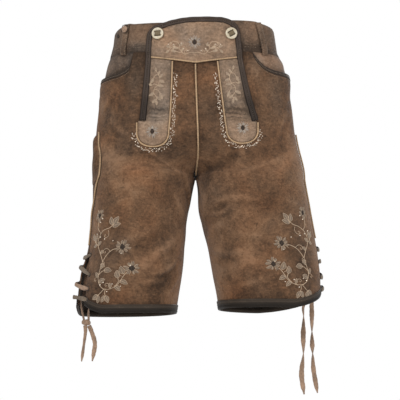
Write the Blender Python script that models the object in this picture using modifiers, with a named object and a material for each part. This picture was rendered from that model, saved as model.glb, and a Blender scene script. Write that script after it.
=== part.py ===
"""Short suede lederhosen with a drop-front flap, in the hollow shape they have when worn.

Metres, +Z up. The front faces -Y and the wearer's right side is at -X.
The origin is the centre of the waist opening, level with the top of the waistband.
Each leather piece is a thin wall worked out from the body's sections. A place on the leather is
given by a side, an angle round the body and a height. The angle runs from 0 at the centre front
(the inseam, on a leg) through the outer side to pi at the centre back (the inseam again).
"""

import math
from collections import namedtuple

import bmesh
import bpy
from mathutils import Matrix, Vector

# ---------------------------------------------------------------- driving sizes

RIGHT, LEFT = -1, 1  # the wearer's sides, as signs of X
SIDES = {RIGHT: "right", LEFT: "left"}

LEATHER = 0.0016  # the main panels
TRIM = 0.0011  # overlays, bindings and facings
SEAM_GAP = 0.0006  # between the edges of two pieces that a seam joins
LAY_GAP = 0.0004  # under a piece that lies on another
PIPE_R = 0.0015  # seam piping

WAISTBAND = 0.053  # height of the waistband
BAND_WALL = 0.0018
RISE_TOP = -0.198  # the centre seams start to run under the body here
CROTCH = -0.274
RISE_POWER = 2.5
LEG_POWER = 2.25  # how square a leg's section is, 2 being an ellipse
INSEAM_Y = 0.010

WidthRow = namedtuple("WidthRow", "z right left")
HIP_WIDTHS = [
    WidthRow(0.012, 0.1482, 0.1440),
    WidthRow(0.000, 0.1490, 0.1446),
    WidthRow(-0.013, 0.1500, 0.1463),
    WidthRow(-0.030, 0.1522, 0.1488),
    WidthRow(-0.044, 0.1560, 0.1516),
    WidthRow(-0.053, 0.1586, 0.1566),
    WidthRow(-0.062, 0.1620, 0.1624),
    WidthRow(-0.075, 0.1652, 0.1656),
    WidthRow(-0.092, 0.1690, 0.1708),
    WidthRow(-0.110, 0.1746, 0.1738),
    WidthRow(-0.127, 0.1784, 0.1756),
    WidthRow(-0.145, 0.1792, 0.1784),
    WidthRow(-0.165, 0.1812, 0.1806),
    WidthRow(-0.185, 0.1832, 0.1826),
    WidthRow(-0.205, 0.1846, 0.1858),
    WidthRow(-0.230, 0.1866, 0.1906),
    WidthRow(-0.255, 0.1880, 0.1960),
    WidthRow(CROTCH, 0.1892, 0.2000),
]

DepthRow = namedtuple("DepthRow", "z front back power")
HIP_DEPTHS = [  # power: how square the section is
    DepthRow(0.012, 0.1110, 0.1120, 3.2),
    DepthRow(0.000, 0.1115, 0.1130, 3.2),
    DepthRow(-0.033, 0.1140, 0.1170, 3.0),
    DepthRow(-0.064, 0.1162, 0.1225, 2.8),
    DepthRow(-0.094, 0.1175, 0.1300, 2.6),
    DepthRow(-0.125, 0.1180, 0.1370, 2.45),
    DepthRow(-0.155, 0.1178, 0.1415, 2.35),
    DepthRow(-0.185, 0.1162, 0.1430, 2.3),
    DepthRow(-0.215, 0.1140, 0.1405, 2.3),
    DepthRow(-0.245, 0.1115, 0.1345, 2.3),
    DepthRow(CROTCH, 0.1090, 0.1270, 2.3),
]

LegRow = namedtuple("LegRow", "z inner outer front back")
LEGS = {
    RIGHT: [
        LegRow(CROTCH, 0.0023, 0.1892, 0.1080, 0.1260),
        LegRow(-0.290, 0.0060, 0.1898, 0.1075, 0.1230),
        LegRow(-0.320, 0.0115, 0.1900, 0.1062, 0.1160),
        LegRow(-0.340, 0.0160, 0.1922, 0.1052, 0.1115),
        LegRow(-0.370, 0.0200, 0.1936, 0.1038, 0.1060),
        LegRow(-0.400, 0.0220, 0.1970, 0.1020, 0.1000),
        LegRow(-0.430, 0.0240, 0.2030, 0.1000, 0.0945),
        LegRow(-0.456, 0.0272, 0.2085, 0.0985, 0.0905),
        LegRow(-0.486, 0.0320, 0.2130, 0.0962, 0.0860),
        LegRow(-0.532, 0.0390, 0.2165, 0.0935, 0.0815),
    ],
    LEFT: [
        LegRow(CROTCH, 0.0023, 0.2000, 0.1080, 0.1260),
        LegRow(-0.290, 0.0050, 0.2026, 0.1075, 0.1230),
        LegRow(-0.320, 0.0070, 0.2082, 0.1062, 0.1160),
        LegRow(-0.340, 0.0096, 0.2116, 0.1052, 0.1115),
        LegRow(-0.370, 0.0160, 0.2170, 0.1038, 0.1060),
        LegRow(-0.400, 0.0240, 0.2226, 0.1020, 0.1000),
        LegRow(-0.430, 0.0295, 0.2268, 0.1000, 0.0945),
        LegRow(-0.456, 0.0340, 0.2296, 0.0985, 0.0905),
        LegRow(-0.486, 0.0400, 0.2296, 0.0962, 0.0860),
        LegRow(-0.532, 0.0470, 0.2265, 0.0935, 0.0815),
    ],
}

# The centre front seam strays a little to the wearer's left on its way down.
ShiftRow = namedtuple("ShiftRow", "z shift")
CENTRE_SEAM = [
    ShiftRow(0.000, 0.0),
    ShiftRow(-0.075, 0.0),
    ShiftRow(-0.144, 0.0022),
    ShiftRow(-0.205, 0.0046),
    ShiftRow(-0.235, 0.0048),
    ShiftRow(-0.262, 0.0008),
    ShiftRow(-0.280, 0.0),
    ShiftRow(-0.540, 0.0),
]

# The angle of the side seam in degrees. The trousers sit a little turned on the wearer.
SeamRow = namedtuple("SeamRow", "z right left")
SIDE_SEAM = [
    SeamRow(0.000, 87.0, 90.0),
    SeamRow(-0.100, 83.0, 90.0),
    SeamRow(-0.150, 77.0, 89.0),
    SeamRow(-0.190, 71.5, 88.0),
    SeamRow(-0.214, 69.0, 88.0),
    SeamRow(-0.232, 66.5, 88.0),
    SeamRow(-0.250, 68.0, 88.5),
    SeamRow(-0.269, 71.0, 89.0),
    SeamRow(-0.295, 75.5, 89.5),
    SeamRow(-0.330, 79.5, 90.0),
    SeamRow(-0.380, 81.0, 90.0),
    SeamRow(-0.430, 78.5, 90.0),
    SeamRow(-0.486, 76.0, 90.0),
    SeamRow(-0.540, 75.0, 90.0),
]

# Broad, soft folds. Tilt is from level, positive when the fold climbs away from the centre front.
Fold = namedtuple("Fold", "side angle z tilt length width height")
FOLDS = [
    Fold(RIGHT, 34, -0.432, -28, 0.050, 0.018, 0.0034),
    Fold(RIGHT, 24, -0.474, -34, 0.042, 0.017, -0.0028),
    Fold(RIGHT, 12, -0.390, -22, 0.040, 0.018, 0.0028),
    Fold(RIGHT, 58, -0.240, 32, 0.060, 0.019, 0.0026),
    Fold(LEFT, 14, -0.318, 26, 0.050, 0.019, 0.0034),
    Fold(LEFT, 10, -0.366, 20, 0.040, 0.018, -0.0026),
    Fold(LEFT, 30, -0.440, 12, 0.052, 0.020, 0.0026),
    Fold(LEFT, 60, -0.250, 38, 0.060, 0.019, 0.0026),
    Fold(RIGHT, 148, -0.258, -18, 0.056, 0.020, 0.0038),
    Fold(RIGHT, 146, -0.306, -12, 0.050, 0.020, -0.0026),
    Fold(LEFT, 148, -0.258, -20, 0.056, 0.020, 0.0038),
    Fold(LEFT, 146, -0.308, -10, 0.050, 0.020, -0.0026),
    Fold(RIGHT, 128, -0.366, 14, 0.064, 0.021, 0.0028),
    Fold(LEFT, 132, -0.356, 10, 0.064, 0.021, 0.0028),
]

# The top edge of the waistband dips and rises a little on its way round the body.
EdgeRow = namedtuple("EdgeRow", "degrees right left")
TOP_EDGE = [
    EdgeRow(0, 0.0000, 0.0040),
    EdgeRow(38, 0.0000, 0.0050),
    EdgeRow(46, 0.0020, 0.0030),
    EdgeRow(53, 0.0000, 0.0018),
    EdgeRow(63, -0.0030, 0.0006),
    EdgeRow(77, -0.0055, -0.0002),
    EdgeRow(95, -0.0040, -0.0010),
    EdgeRow(135, 0.0000, 0.0000),
    EdgeRow(180, 0.0000, 0.0000),
]

# ---- the drop-front flap
FLAP_STAND = 0.0031  # how far the flap lies out, over the waistband
FLAP_SEAM = (-0.0750, -0.0645)  # height of its cross seam at the centre and at the edge
BINDING = (0.0098, 0.0122)  # width of the dark binding round the flap, above and at its ends
EDGE_INSET = 0.0015  # from the middle line of the binding to the edges under it
BINDING_END = -0.1795
SLIT_END = -0.1812

# The middle line of the binding over the top of the flap, from the right side to the left.
CurveRow = namedtuple("CurveRow", "x z")
FLAP_TOP = [
    CurveRow(-0.0832, -0.0340),
    CurveRow(-0.0816, -0.0235),
    CurveRow(-0.0766, -0.0150),
    CurveRow(-0.0676, -0.0100),
    CurveRow(-0.0563, -0.0062),
    CurveRow(-0.0450, -0.0024),
    CurveRow(-0.0325, 0.0006),
    CurveRow(-0.0190, 0.0030),
    CurveRow(-0.0040, 0.0043),
    CurveRow(0.0164, 0.0049),
    CurveRow(0.0360, 0.0045),
    CurveRow(0.0490, 0.0036),
    CurveRow(0.0585, 0.0008),
    CurveRow(0.0672, -0.0042),
    CurveRow(0.0728, -0.0115),
    CurveRow(0.0756, -0.0225),
    CurveRow(0.0765, -0.0340),
]

# Distance from the centre to the middle line of the binding, and to the inner line of piping.
FlapRow = namedtuple("FlapRow", "z slit_right slit_left pipe_right pipe_left")
FLAP = [
    FlapRow(-0.034, 0.0832, 0.0765, 0.0406, 0.0380),
    FlapRow(-0.065, 0.0850, 0.0800, 0.0414, 0.0392),
    FlapRow(-0.102, 0.0877, 0.0872, 0.0424, 0.0434),
    FlapRow(-0.144, 0.0915, 0.0970, 0.0438, 0.0486),
    FlapRow(-0.180, 0.0952, 0.1078, 0.0460, 0.0532),
    FlapRow(-0.202, 0.0968, 0.1125, 0.0480, 0.0570),
]

# The round end of each tongue: how far out it reaches, where it starts to turn and its depth.
Tongue = namedtuple("Tongue", "outer turn drop")
TONGUES = {RIGHT: Tongue(0.1052, -0.2010, 0.0252), LEFT: Tongue(0.1122, -0.1965, 0.0240)}
TONGUE_POWER = 2.3

# Cross tucks pressed into each tongue: height on the body, half width and height of the ridge.
Tuck = namedtuple("Tuck", "z width height")
TUCKS = [Tuck(-0.157, 0.0060, 0.0022), Tuck(-0.1745, 0.0034, 0.0018)]

# ---- hip pockets
MOUTH_TOP = -WAISTBAND - SEAM_GAP
MOUTHS = {
    RIGHT: [
        CurveRow(0.1120, MOUTH_TOP),
        CurveRow(0.1145, -0.0660),
        CurveRow(0.1188, -0.0790),
        CurveRow(0.1290, -0.0872),
        CurveRow(0.1450, -0.0926),
        CurveRow(0.1600, -0.0950),
        CurveRow(0.1740, -0.0945),
    ],
    LEFT: [
        CurveRow(0.1010, MOUTH_TOP),
        CurveRow(0.1125, -0.0680),
        CurveRow(0.1222, -0.0780),
        CurveRow(0.1335, -0.0840),
        CurveRow(0.1480, -0.0864),
        CurveRow(0.1620, -0.0866),
        CurveRow(0.1740, -0.0858),
    ],
}
MOUTH_LIFT = 0.0019  # the panel's edge lies on the facing
MOUTH_GAPE = 0.0040  # and gapes this much more towards the side
FACING_TUCK = 0.010  # how far the facing runs on behind the panel

# ---- side vents: half the gap, how far the back edge curls out, and the round hem corners
Vent = namedtuple("Vent", "half_gap curl top rise front_reach back_reach")
VENTS = {
    RIGHT: Vent(0.0105, 0.0045, -0.405, 0.020, 0.055, 0.075),
    LEFT: Vent(0.0060, 0.0, -0.388, 0.031, 0.105, 0.160),
}
VENT_OPENING = 0.036
HEM_CORNER_POWER = 1.3

HemRow = namedtuple("HemRow", "degrees right left")
HEM_LINE = [
    HemRow(0, -0.5215, -0.5150),
    HemRow(40, -0.5262, -0.5158),
    HemRow(90, -0.5262, -0.5165),
    HemRow(135, -0.5250, -0.5182),
    HemRow(180, -0.5215, -0.5150),
]
HEM_LEVEL = -0.515
HEM_BAND = 0.014

# ---- laces
THONG = 0.0062  # width of the lacing
THONG_WALL = 0.0018
BAR_SLANT = 0.0040
BAR_ARCH = 0.0026
EYELET_INSET = 0.009
BarRow = namedtuple("BarRow", "z knob on_binding")
BARS = {
    RIGHT: [
        BarRow(-0.4215, 0.0012, False),
        BarRow(-0.4480, 0.0026, False),
        BarRow(-0.4760, 0.0050, False),
        BarRow(-0.4995, 0.0050, True),
    ],
    LEFT: [
        BarRow(-0.4030, 0.0004, False),
        BarRow(-0.4280, 0.0008, False),
        BarRow(-0.4530, 0.0008, False),
        BarRow(-0.4775, 0.0006, True),
    ],
}

# Free ends of the laces. Turn is the flat side's angle from the front, in degrees.
TailRow = namedtuple("TailRow", "x y z turn")
TAILS = {
    "left_a": [
        TailRow(0.2258, -0.0045, -0.4830, 82),
        TailRow(0.2210, -0.0065, -0.4905, 80),
        TailRow(0.2085, -0.0060, -0.5000, 70),
        TailRow(0.1994, -0.0020, -0.5118, 62),
        TailRow(0.1998, 0.0000, -0.5306, 90),
        TailRow(0.1989, 0.0000, -0.5656, 180),
        TailRow(0.1989, 0.0000, -0.5993, 270),
        TailRow(0.1954, 0.0000, -0.6361, 360),
        TailRow(0.2000, 0.0000, -0.6729, 400),
    ],
    "left_b": [
        TailRow(0.2258, 0.0205, -0.4835, 104),
        TailRow(0.2226, 0.0165, -0.4930, 84),
        TailRow(0.2160, 0.0105, -0.5040, 40),
        TailRow(0.2155, 0.0080, -0.5213, 0),
        TailRow(0.2155, 0.0080, -0.5582, 90),
        TailRow(0.2157, 0.0080, -0.5767, 160),
        TailRow(0.2166, 0.0080, -0.5988, 270),
        TailRow(0.2180, 0.0080, -0.6275, 345),
        TailRow(0.2250, 0.0080, -0.6701, 378),
    ],
    "right_a": [
        TailRow(-0.2016, -0.0374, -0.5479, 20),
        TailRow(-0.2010, -0.0376, -0.5600, 35),
        TailRow(-0.2040, -0.0374, -0.5850, 60),
        TailRow(-0.2078, -0.0372, -0.6135, 20),
    ],
    "right_b": [
        TailRow(-0.1948, -0.0334, -0.5478, -20),
        TailRow(-0.1896, -0.0336, -0.5600, -5),
        TailRow(-0.1838, -0.0340, -0.5802, 10),
        TailRow(-0.1862, -0.0340, -0.6000, 20),
        TailRow(-0.1885, -0.0340, -0.6130, 30),
    ],
}
TAIL_WIDTHS = {"left_a": 0.0094, "left_b": 0.0086, "right_a": 0.0072, "right_b": 0.0080}
RUNS = {  # from inside the right leg down to the knot
    "right_a": [
        TailRow(-0.2108, -0.0290, -0.5000, 86),
        TailRow(-0.2088, -0.0312, -0.5150, 55),
        TailRow(-0.2025, -0.0352, -0.5360, 0),
    ],
    "right_b": [
        TailRow(-0.1908, -0.0630, -0.4975, 126),
        TailRow(-0.1945, -0.0500, -0.5150, 100),
        TailRow(-0.1950, -0.0350, -0.5365, 0),
    ],
}
RUN_WIDTH = 0.0042
KNOT_CENTRE = Vector((-0.2000, -0.0350, -0.5424))
KNOT_SIZE = Vector((0.0086, 0.0060, 0.0056))

# ---- knife pocket, behind the right side seam
KNIFE_TOP, KNIFE_SLANT, KNIFE_END = -0.1940, 0.024, -0.2880
KNIFE_START, KNIFE_WIDTH = 0.004, 0.044
KNIFE_BULGE = 0.0052

# ---- buttons and belt loops
BUTTON_R = 0.0108
BUTTON_WALL = 0.0034
BUTTON_PLACES = {RIGHT: (-0.0676, -0.0219), LEFT: (0.0642, -0.0218)}
BUTTON_TURN = {RIGHT: 2.0, LEFT: 30.0}
BELT_LOOP = 0.0098
LoopPath = namedtuple("LoopPath", "x_top x_bottom")
FRONT_LOOPS = {RIGHT: LoopPath(-0.1235, -0.1305), LEFT: LoopPath(0.1130, 0.1258)}

COLOURS = {
    "suede": ((0.19, 0.105, 0.06), 0.9),
    "light_suede": ((0.30, 0.20, 0.14), 0.85),
    "dark_leather": ((0.045, 0.036, 0.03), 0.7),
    "piping": ((0.42, 0.28, 0.16), 0.7),
    "thong": ((0.28, 0.17, 0.10), 0.75),
    "horn": ((0.72, 0.64, 0.50), 0.4),
}


# ---------------------------------------------------------------- the body's form


def smooth(low, high, value):
    """0 at low, 1 at high, with a soft start and end."""
    t = min(1.0, max(0.0, (value - low) / (high - low)))
    return t * t * (3 - 2 * t)


def along(rows, at, column, by="z"):
    """A column's value on a smooth curve through the rows of a table that is sorted by another column."""
    keys = [getattr(row, by) for row in rows]
    values = [getattr(row, column) for row in rows]
    if keys[0] > keys[-1]:
        keys, values = keys[::-1], values[::-1]
    at = min(keys[-1], max(keys[0], at))
    i = next(k for k in range(len(keys) - 1) if at <= keys[k + 1])
    step = keys[i + 1] - keys[i]
    t = (at - keys[i]) / step

    def slope(k):
        low, high = max(k - 1, 0), min(k + 1, len(keys) - 1)
        return (values[high] - values[low]) / (keys[high] - keys[low])

    start, end = values[i], values[i + 1]
    cubic = (start - end) * 2 + (slope(i) + slope(i + 1)) * step
    square = (end - start) * 3 - (2 * slope(i) + slope(i + 1)) * step
    return ((cubic * t + square) * t + slope(i) * step) * t + start


def powered(value, power):
    """value to the exponent that turns an ellipse into a squarer section, with its sign kept."""
    return math.copysign(abs(value) ** (2 / power), value)


def leg_share(z):
    """0 on the hips, 1 on the legs; between them the centre seams run back under the body."""
    t = min(1.0, max(0.0, (RISE_TOP - z) / (RISE_TOP - CROTCH)))
    return t**RISE_POWER


def section_point(side, angle, z):
    """A point of the leather's inner face, before any folds."""
    share = leg_share(z)
    power = along(HIP_DEPTHS, z, "power")
    depth = along(HIP_DEPTHS, z, "front" if math.cos(angle) > 0 else "back")
    hip_x = SEAM_GAP / 2 + along(HIP_WIDTHS, z, SIDES[side]) * powered(math.sin(angle), power)
    hip_y = -depth * powered(math.cos(angle), power)
    rows = LEGS[side]
    inner, outer = along(rows, z, "inner"), along(rows, z, "outer")
    leg_x = (inner + outer) / 2 - (outer - inner) / 2 * powered(math.cos(2 * angle), LEG_POWER)
    turn = powered(math.sin(2 * angle), LEG_POWER)
    reach = along(rows, z, "front") + INSEAM_Y if turn > 0 else along(rows, z, "back") - INSEAM_Y
    leg_y = INSEAM_Y - reach * turn
    x = hip_x + share * (leg_x - hip_x)
    y = hip_y + share * (leg_y - hip_y)
    stray = along(CENTRE_SEAM, z, "shift") * max(0.0, math.cos(angle)) ** 2
    return Vector((side * x + stray, y, z))


def outward(side, angle, z):
    """The unit vector that points straight out of the leather."""
    turn, step = math.radians(1.5), 0.003
    low, high = max(angle - turn, 0.0), min(angle + turn, math.pi)
    round_it = section_point(side, high, z) - section_point(side, low, z)
    up_it = section_point(side, angle, z + step) - section_point(side, angle, z - step)
    return side * round_it.cross(up_it).normalized()


def seam_angle(side, z):
    return math.radians(along(SIDE_SEAM, z, SIDES[side]))


def leg_radius(side, z):
    rows = LEGS[side]
    return (along(rows, z, "outer") - along(rows, z, "inner")) / 2


def arc_scale(side, z):
    """About how far the leather runs for each radian of the angle, near the side."""
    hip = along(HIP_WIDTHS, z, SIDES[side])
    return hip + leg_share(z) * (2 * leg_radius(side, z) - hip)


def off_seam(side, arc, z):
    """The angle of a place that lies arc behind the side seam, measured along the leather."""
    return seam_angle(side, z) + arc / arc_scale(side, z)


def vent_gap(side, z):
    """Half the width of the side vent at a height."""
    top = VENTS[side].top
    return SEAM_GAP / 2 + VENTS[side].half_gap * smooth(top, top - VENT_OPENING, z)


def vent_curl(side, angle, z):
    """How far the leather behind the side vent curls out."""
    vent, gap = VENTS[side], vent_gap(side, z)
    arc = (angle - seam_angle(side, z)) * arc_scale(side, z)
    fade = math.exp(-((max(0.0, arc - gap) / 0.024) ** 2))
    return vent.curl * smooth(vent.top, vent.top - 0.05, z) * smooth(-gap, gap, arc) * fade


def fold_height(side, angle, z):
    total = vent_curl(side, angle, z)
    for fold in FOLDS:
        if fold.side != side:
            continue
        across = (angle - math.radians(fold.angle)) * along(HIP_WIDTHS, z, SIDES[side])
        down = z - fold.z
        tilt = math.radians(fold.tilt)
        run = across * math.cos(tilt) + down * math.sin(tilt)
        off = down * math.cos(tilt) - across * math.sin(tilt)
        total += fold.height * math.exp(-((run / fold.length) ** 2) - (off / fold.width) ** 2)
    return total


def leather(side, angle, z, lift=0.0):
    """A point lift above the leather's inner face, with the folds."""
    height = lift + fold_height(side, angle, z)
    return section_point(side, angle, z) + outward(side, angle, z) * height


def side_of(x, z):
    return LEFT if x >= along(CENTRE_SEAM, z, "shift") else RIGHT


def angle_at(side, x, z, back=False):
    """The angle at which one side's leather is at x, when seen from the front or from the back."""
    low, high = 0.0, math.pi / 2
    for _ in range(28):
        middle = (low + high) / 2
        probe = math.pi - middle if back else middle
        if side * section_point(side, probe, z).x < side * x:
            low = middle
        else:
            high = middle
    return math.pi - low if back else low


def on_front(x, z, lift=0.0):
    """The point of the leather that is at x and z when seen from the front."""
    side = side_of(x, z)
    point = leather(side, angle_at(side, x, z), z, lift)
    if abs(x - along(CENTRE_SEAM, z, "shift")) < SEAM_GAP:
        point.x = x
    return point


def hem_height(side, angle):
    """The height of the hem, which rises in a round corner at the side vent."""
    vent = VENTS[side]
    arc = (angle - seam_angle(side, HEM_LEVEL)) * arc_scale(side, HEM_LEVEL)
    near = max(0.0, 1 - abs(arc) / (vent.front_reach if arc < 0 else vent.back_reach))
    level = along(HEM_LINE, math.degrees(angle), SIDES[side], by="degrees")
    return level + vent.rise * near**HEM_CORNER_POWER


def top_edge(side, angle):
    return along(TOP_EDGE, math.degrees(angle), SIDES[side], by="degrees")


def slit(side, z):
    return along(FLAP, z, "slit_" + SIDES[side])


def pipe_line(side, z):
    return along(FLAP, z, "pipe_" + SIDES[side])


def flap_seam(x):
    """The height of the flap's cross seam, a shallow V."""
    centre, edge = FLAP_SEAM
    return centre + (edge - centre) * min(1.0, abs(x) / slit(LEFT, edge))


def flap_lift(z):
    """How far the flap's inner face lies out: nothing below its cross seam, over the waistband above."""
    return FLAP_STAND * smooth(-0.067, -0.054, z)


def binding_width(z):
    upper, lower = BINDING
    return upper + (lower - upper) * smooth(-0.05, BINDING_END, z)


def mouth_height(side, angle):
    """The height of the pocket's mouth at an angle, level with the waistband's seam before it starts."""
    low, high = -0.110, MOUTH_TOP
    for _ in range(22):
        middle = (low + high) / 2
        x = abs(section_point(side, angle, middle).x)
        if middle < along(MOUTHS[side], x, "z", by="x"):
            low = middle
        else:
            high = middle
    return high


def pocket_lift(side, angle, z):
    """How far the front panel lies out from the body near the pocket's mouth."""
    mouth = mouth_height(side, angle)
    below = max(0.0, mouth - z)
    x = abs(section_point(side, angle, mouth).x)
    start = MOUTHS[side][0].x
    lies = MOUTH_LIFT * smooth(start - 0.015, start - 0.004, x) * (1 - smooth(0.013, 0.040, below))
    gape = smooth(start + 0.004, start + 0.040, x) * (1 - 0.45 * smooth(0.150, 0.176, x))
    return lies + MOUTH_GAPE * gape * (1 - smooth(0.0, 0.034, below))


# ---------------------------------------------------------------- Blender helpers


def start_scene():
    for old in list(bpy.data.objects):
        bpy.data.objects.remove(old)
    parts = bpy.data.collections.new("lederhosen")
    cutters = bpy.data.collections.new("cutters")
    bpy.context.scene.collection.children.link(parts)
    bpy.context.scene.collection.children.link(cutters)
    return parts, cutters


def material_named(name):
    found = bpy.data.materials.get(name)
    if found:
        return found
    colour, roughness = COLOURS[name]
    made = bpy.data.materials.new(name)
    made.use_nodes = True
    shader = made.node_tree.nodes["Principled BSDF"]
    shader.inputs["Base Color"].default_value = (*colour, 1)
    shader.inputs["Roughness"].default_value = roughness
    shader.inputs["Metallic"].default_value = 0
    return made


def link(name, data, material):
    obj = bpy.data.objects.new(name, data)
    data.materials.append(material_named(material))
    PARTS.objects.link(obj)
    return obj


def mesh_object(name, points, faces, material):
    mesh = bpy.data.meshes.new(name)
    mesh.from_pydata([tuple(p) for p in points], [], faces)
    mesh.shade_smooth()
    return link(name, mesh, material)


def add_wall(name, rows, material, thickness, mirrored=False, left_out=()):
    """A grid of points, row by row from the top, thickened outwards into a wall. left_out names cells."""
    width = len(rows[0])
    faces = []
    for r in range(len(rows) - 1):
        for c in range(width - 1):
            if (r, c) in left_out:
                continue
            corner = r * width + c
            face = [corner, corner + width, corner + width + 1, corner + 1]
            faces.append(face[::-1] if mirrored else face)
    obj = mesh_object(name, [p for row in rows for p in row], faces, material)
    edit = bmesh.new()
    edit.from_mesh(obj.data)
    loose = [v for v in edit.verts if not v.link_faces]
    bmesh.ops.delete(edit, geom=loose, context="VERTS")
    edit.to_mesh(obj.data)
    edit.free()
    wall = obj.modifiers.new("leather", "SOLIDIFY")
    wall.thickness = thickness
    wall.offset = 1
    return obj


def add_columns(name, columns, material, thickness, side, left_out=()):
    """A wall made from columns of points that run from the centre front round one side."""
    rows = [list(row) for row in zip(*columns)]
    return add_wall(name, rows, material, thickness, side == RIGHT, left_out)


def add_loft(name, rings, material, mirrored=False):
    """A closed body through rings of points, with a face at each end."""
    size = len(rings[0])
    faces = []
    for r in range(len(rings) - 1):
        for c in range(size):
            near, far = r * size + c, r * size + (c + 1) % size
            faces.append([near, near + size, far + size, far])
    faces.append(list(range(size)))
    faces.append([(len(rings) - 1) * size + c for c in reversed(range(size))])
    if mirrored:
        faces = [face[::-1] for face in faces]
    return mesh_object(name, [p for ring in rings for p in ring], faces, material)


def add_tube(name, points, radius, material):
    """A six-sided cord through the points."""
    curve = bpy.data.curves.new(name, "CURVE")
    curve.dimensions = "3D"
    spline = curve.splines.new("POLY")
    spline.points.add(len(points) - 1)
    for target, point in zip(spline.points, points):
        target.co = (*point, 1)
    curve.bevel_depth = radius
    curve.bevel_resolution = 1
    curve.use_fill_caps = True
    return link(name, curve, material)


def add_thong(name, table, width, material, pointed=False):
    """A flat strip through the rows of a table, turned about its length as they say."""
    step = 0.0085
    knots = [Vector((row.x, row.y, row.z)) for row in table]
    turns = [math.radians(row.turn) for row in table]
    counts = [max(1, round((b - a).length / step)) for a, b in zip(knots, knots[1:])]
    points, angles = smooth_route(knots, counts), smooth_route(turns, counts)
    rings = []
    for k, (point, turn) in enumerate(zip(points, angles)):
        run = (points[min(k + 1, len(points) - 1)] - points[max(k - 1, 0)]).normalized()
        across = Vector((math.cos(turn), math.sin(turn), 0.0))
        left_over = (len(points) - 1 - k) * step
        half = width / 2 * (smooth(-0.006, 0.012, left_over) if pointed else 1.0)
        across = (across - run * across.dot(run)).normalized() * half
        through = run.cross(across).normalized() * THONG_WALL / 2
        rings.append([point - across - through, point + across - through])
        rings[-1] += [point + across + through, point - across + through]
    return add_loft(name, rings, material, mirrored=True)


def turned(name, profile, steps, material):
    """A body turned from a profile of (radius, height), which runs from its top centre to its base."""
    mesh = bpy.data.meshes.new(name)
    points = [(r, 0.0, h) for r, h in profile]
    mesh.from_pydata(points, [(k, k + 1) for k in range(len(points) - 1)], [])
    obj = link(name, mesh, material)
    screw = obj.modifiers.new("turn", "SCREW")
    screw.steps = screw.render_steps = steps
    screw.use_merge_vertices = True
    screw.merge_threshold = 0.00005
    screw.use_smooth_shade = True
    return obj


def spread(start, end, count):
    """count + 1 values from start to end."""
    return [start + (end - start) * k / count for k in range(count + 1)]


def eased(start, end, count):
    """count + 1 values from start to end that lie closer together near both."""
    return [start + (end - start) * (t + smooth(0, 1, t)) / 2 for t in spread(0.0, 1.0, count)]


def smooth_route(knots, counts):
    """Values on a smooth curve through the knots, with a count of steps between each two."""
    ends = [knots[0] * 2 - knots[1], *knots, knots[-1] * 2 - knots[-2]]
    route = []
    for count, before, a, b, after in zip(counts, ends, ends[1:], ends[2:], ends[3:]):
        for t in spread(0.0, 1.0, count)[:-1]:
            bend = (before * 2 - a * 5 + b * 4 - after) * t**2
            sway = (a * 3 - before - b * 3 + after) * t**3
            route.append((a * 2 + (b - before) * t + bend + sway) * 0.5)
    return [*route, knots[-1]]


# ---------------------------------------------------------------- panels

CENTRE_COLUMNS = 6
SIDE_SHARES = (0.0, 0.08, 0.15, 0.21, 0.26, 0.31, 0.38, 0.48, 0.60, 0.73, 0.86, 1.0)
BACK_COLUMNS = 12
UPPER_ROWS, RISE_ROWS, LEG_ROWS = 6, 6, 10


def inseam_angle(side, z):
    """Where the leather starts, a little off the inseam."""
    return leg_share(z) * SEAM_GAP / 4 / arc_scale(side, z)


def front_angles(side, z):
    """The angles of the front panel's columns: centre to slit, across the slit, slit to side seam."""
    height = max(z, SLIT_END)
    near = angle_at(side, side * (slit(side, height) - EDGE_INSET), height)
    far = angle_at(side, side * (slit(side, height) + EDGE_INSET), height)
    end = off_seam(side, -vent_gap(side, z), z)
    outer = [far + (end - far) * share for share in SIDE_SHARES]
    return spread(inseam_angle(side, z), near, CENTRE_COLUMNS) + outer


def back_angles(side, z):
    start = off_seam(side, vent_gap(side, z), z)
    return spread(start, math.pi - inseam_angle(side, z), BACK_COLUMNS)


def column_heights(top, middle, bottom):
    """The heights of a column's points, from its own top to its own place on the hem."""
    heights = spread(top, middle, UPPER_ROWS)
    heights += spread(middle, CROTCH, RISE_ROWS)[1:]
    return heights + spread(CROTCH, bottom, LEG_ROWS)[1:]


def front_top(side, column, angle):
    """The upper edge of the front panel: the flap's cross seam, then the waistband, then the pocket."""
    if column <= CENTRE_COLUMNS:
        return flap_seam(section_point(side, angle, FLAP_SEAM[1]).x) - SEAM_GAP / 2
    return mouth_height(side, angle)


def make_front(side):
    columns = []
    for c in range(CENTRE_COLUMNS + 1 + len(SIDE_SHARES)):
        top = front_top(side, c, front_angles(side, -0.070)[c])
        bottom = hem_height(side, front_angles(side, HEM_LEVEL)[c])
        column = []
        for z in column_heights(top, SLIT_END, bottom):
            angle = front_angles(side, z)[c]
            lift = pocket_lift(side, angle, z) if c > CENTRE_COLUMNS else 0.0
            column.append(leather(side, angle, z, lift))
        columns.append(column)
    slit_cells = {(r, CENTRE_COLUMNS) for r in range(UPPER_ROWS)}
    add_columns("front_panel_" + SIDES[side], columns, "suede", LEATHER, side, slit_cells)


def make_back(side):
    columns = []
    for c in range(BACK_COLUMNS + 1):
        bottom = hem_height(side, back_angles(side, HEM_LEVEL)[c])
        heights = column_heights(MOUTH_TOP, SLIT_END, bottom)
        columns.append([leather(side, back_angles(side, z)[c], z) for z in heights])
    add_columns("back_panel_" + SIDES[side], columns, "suede", LEATHER, side)


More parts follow.
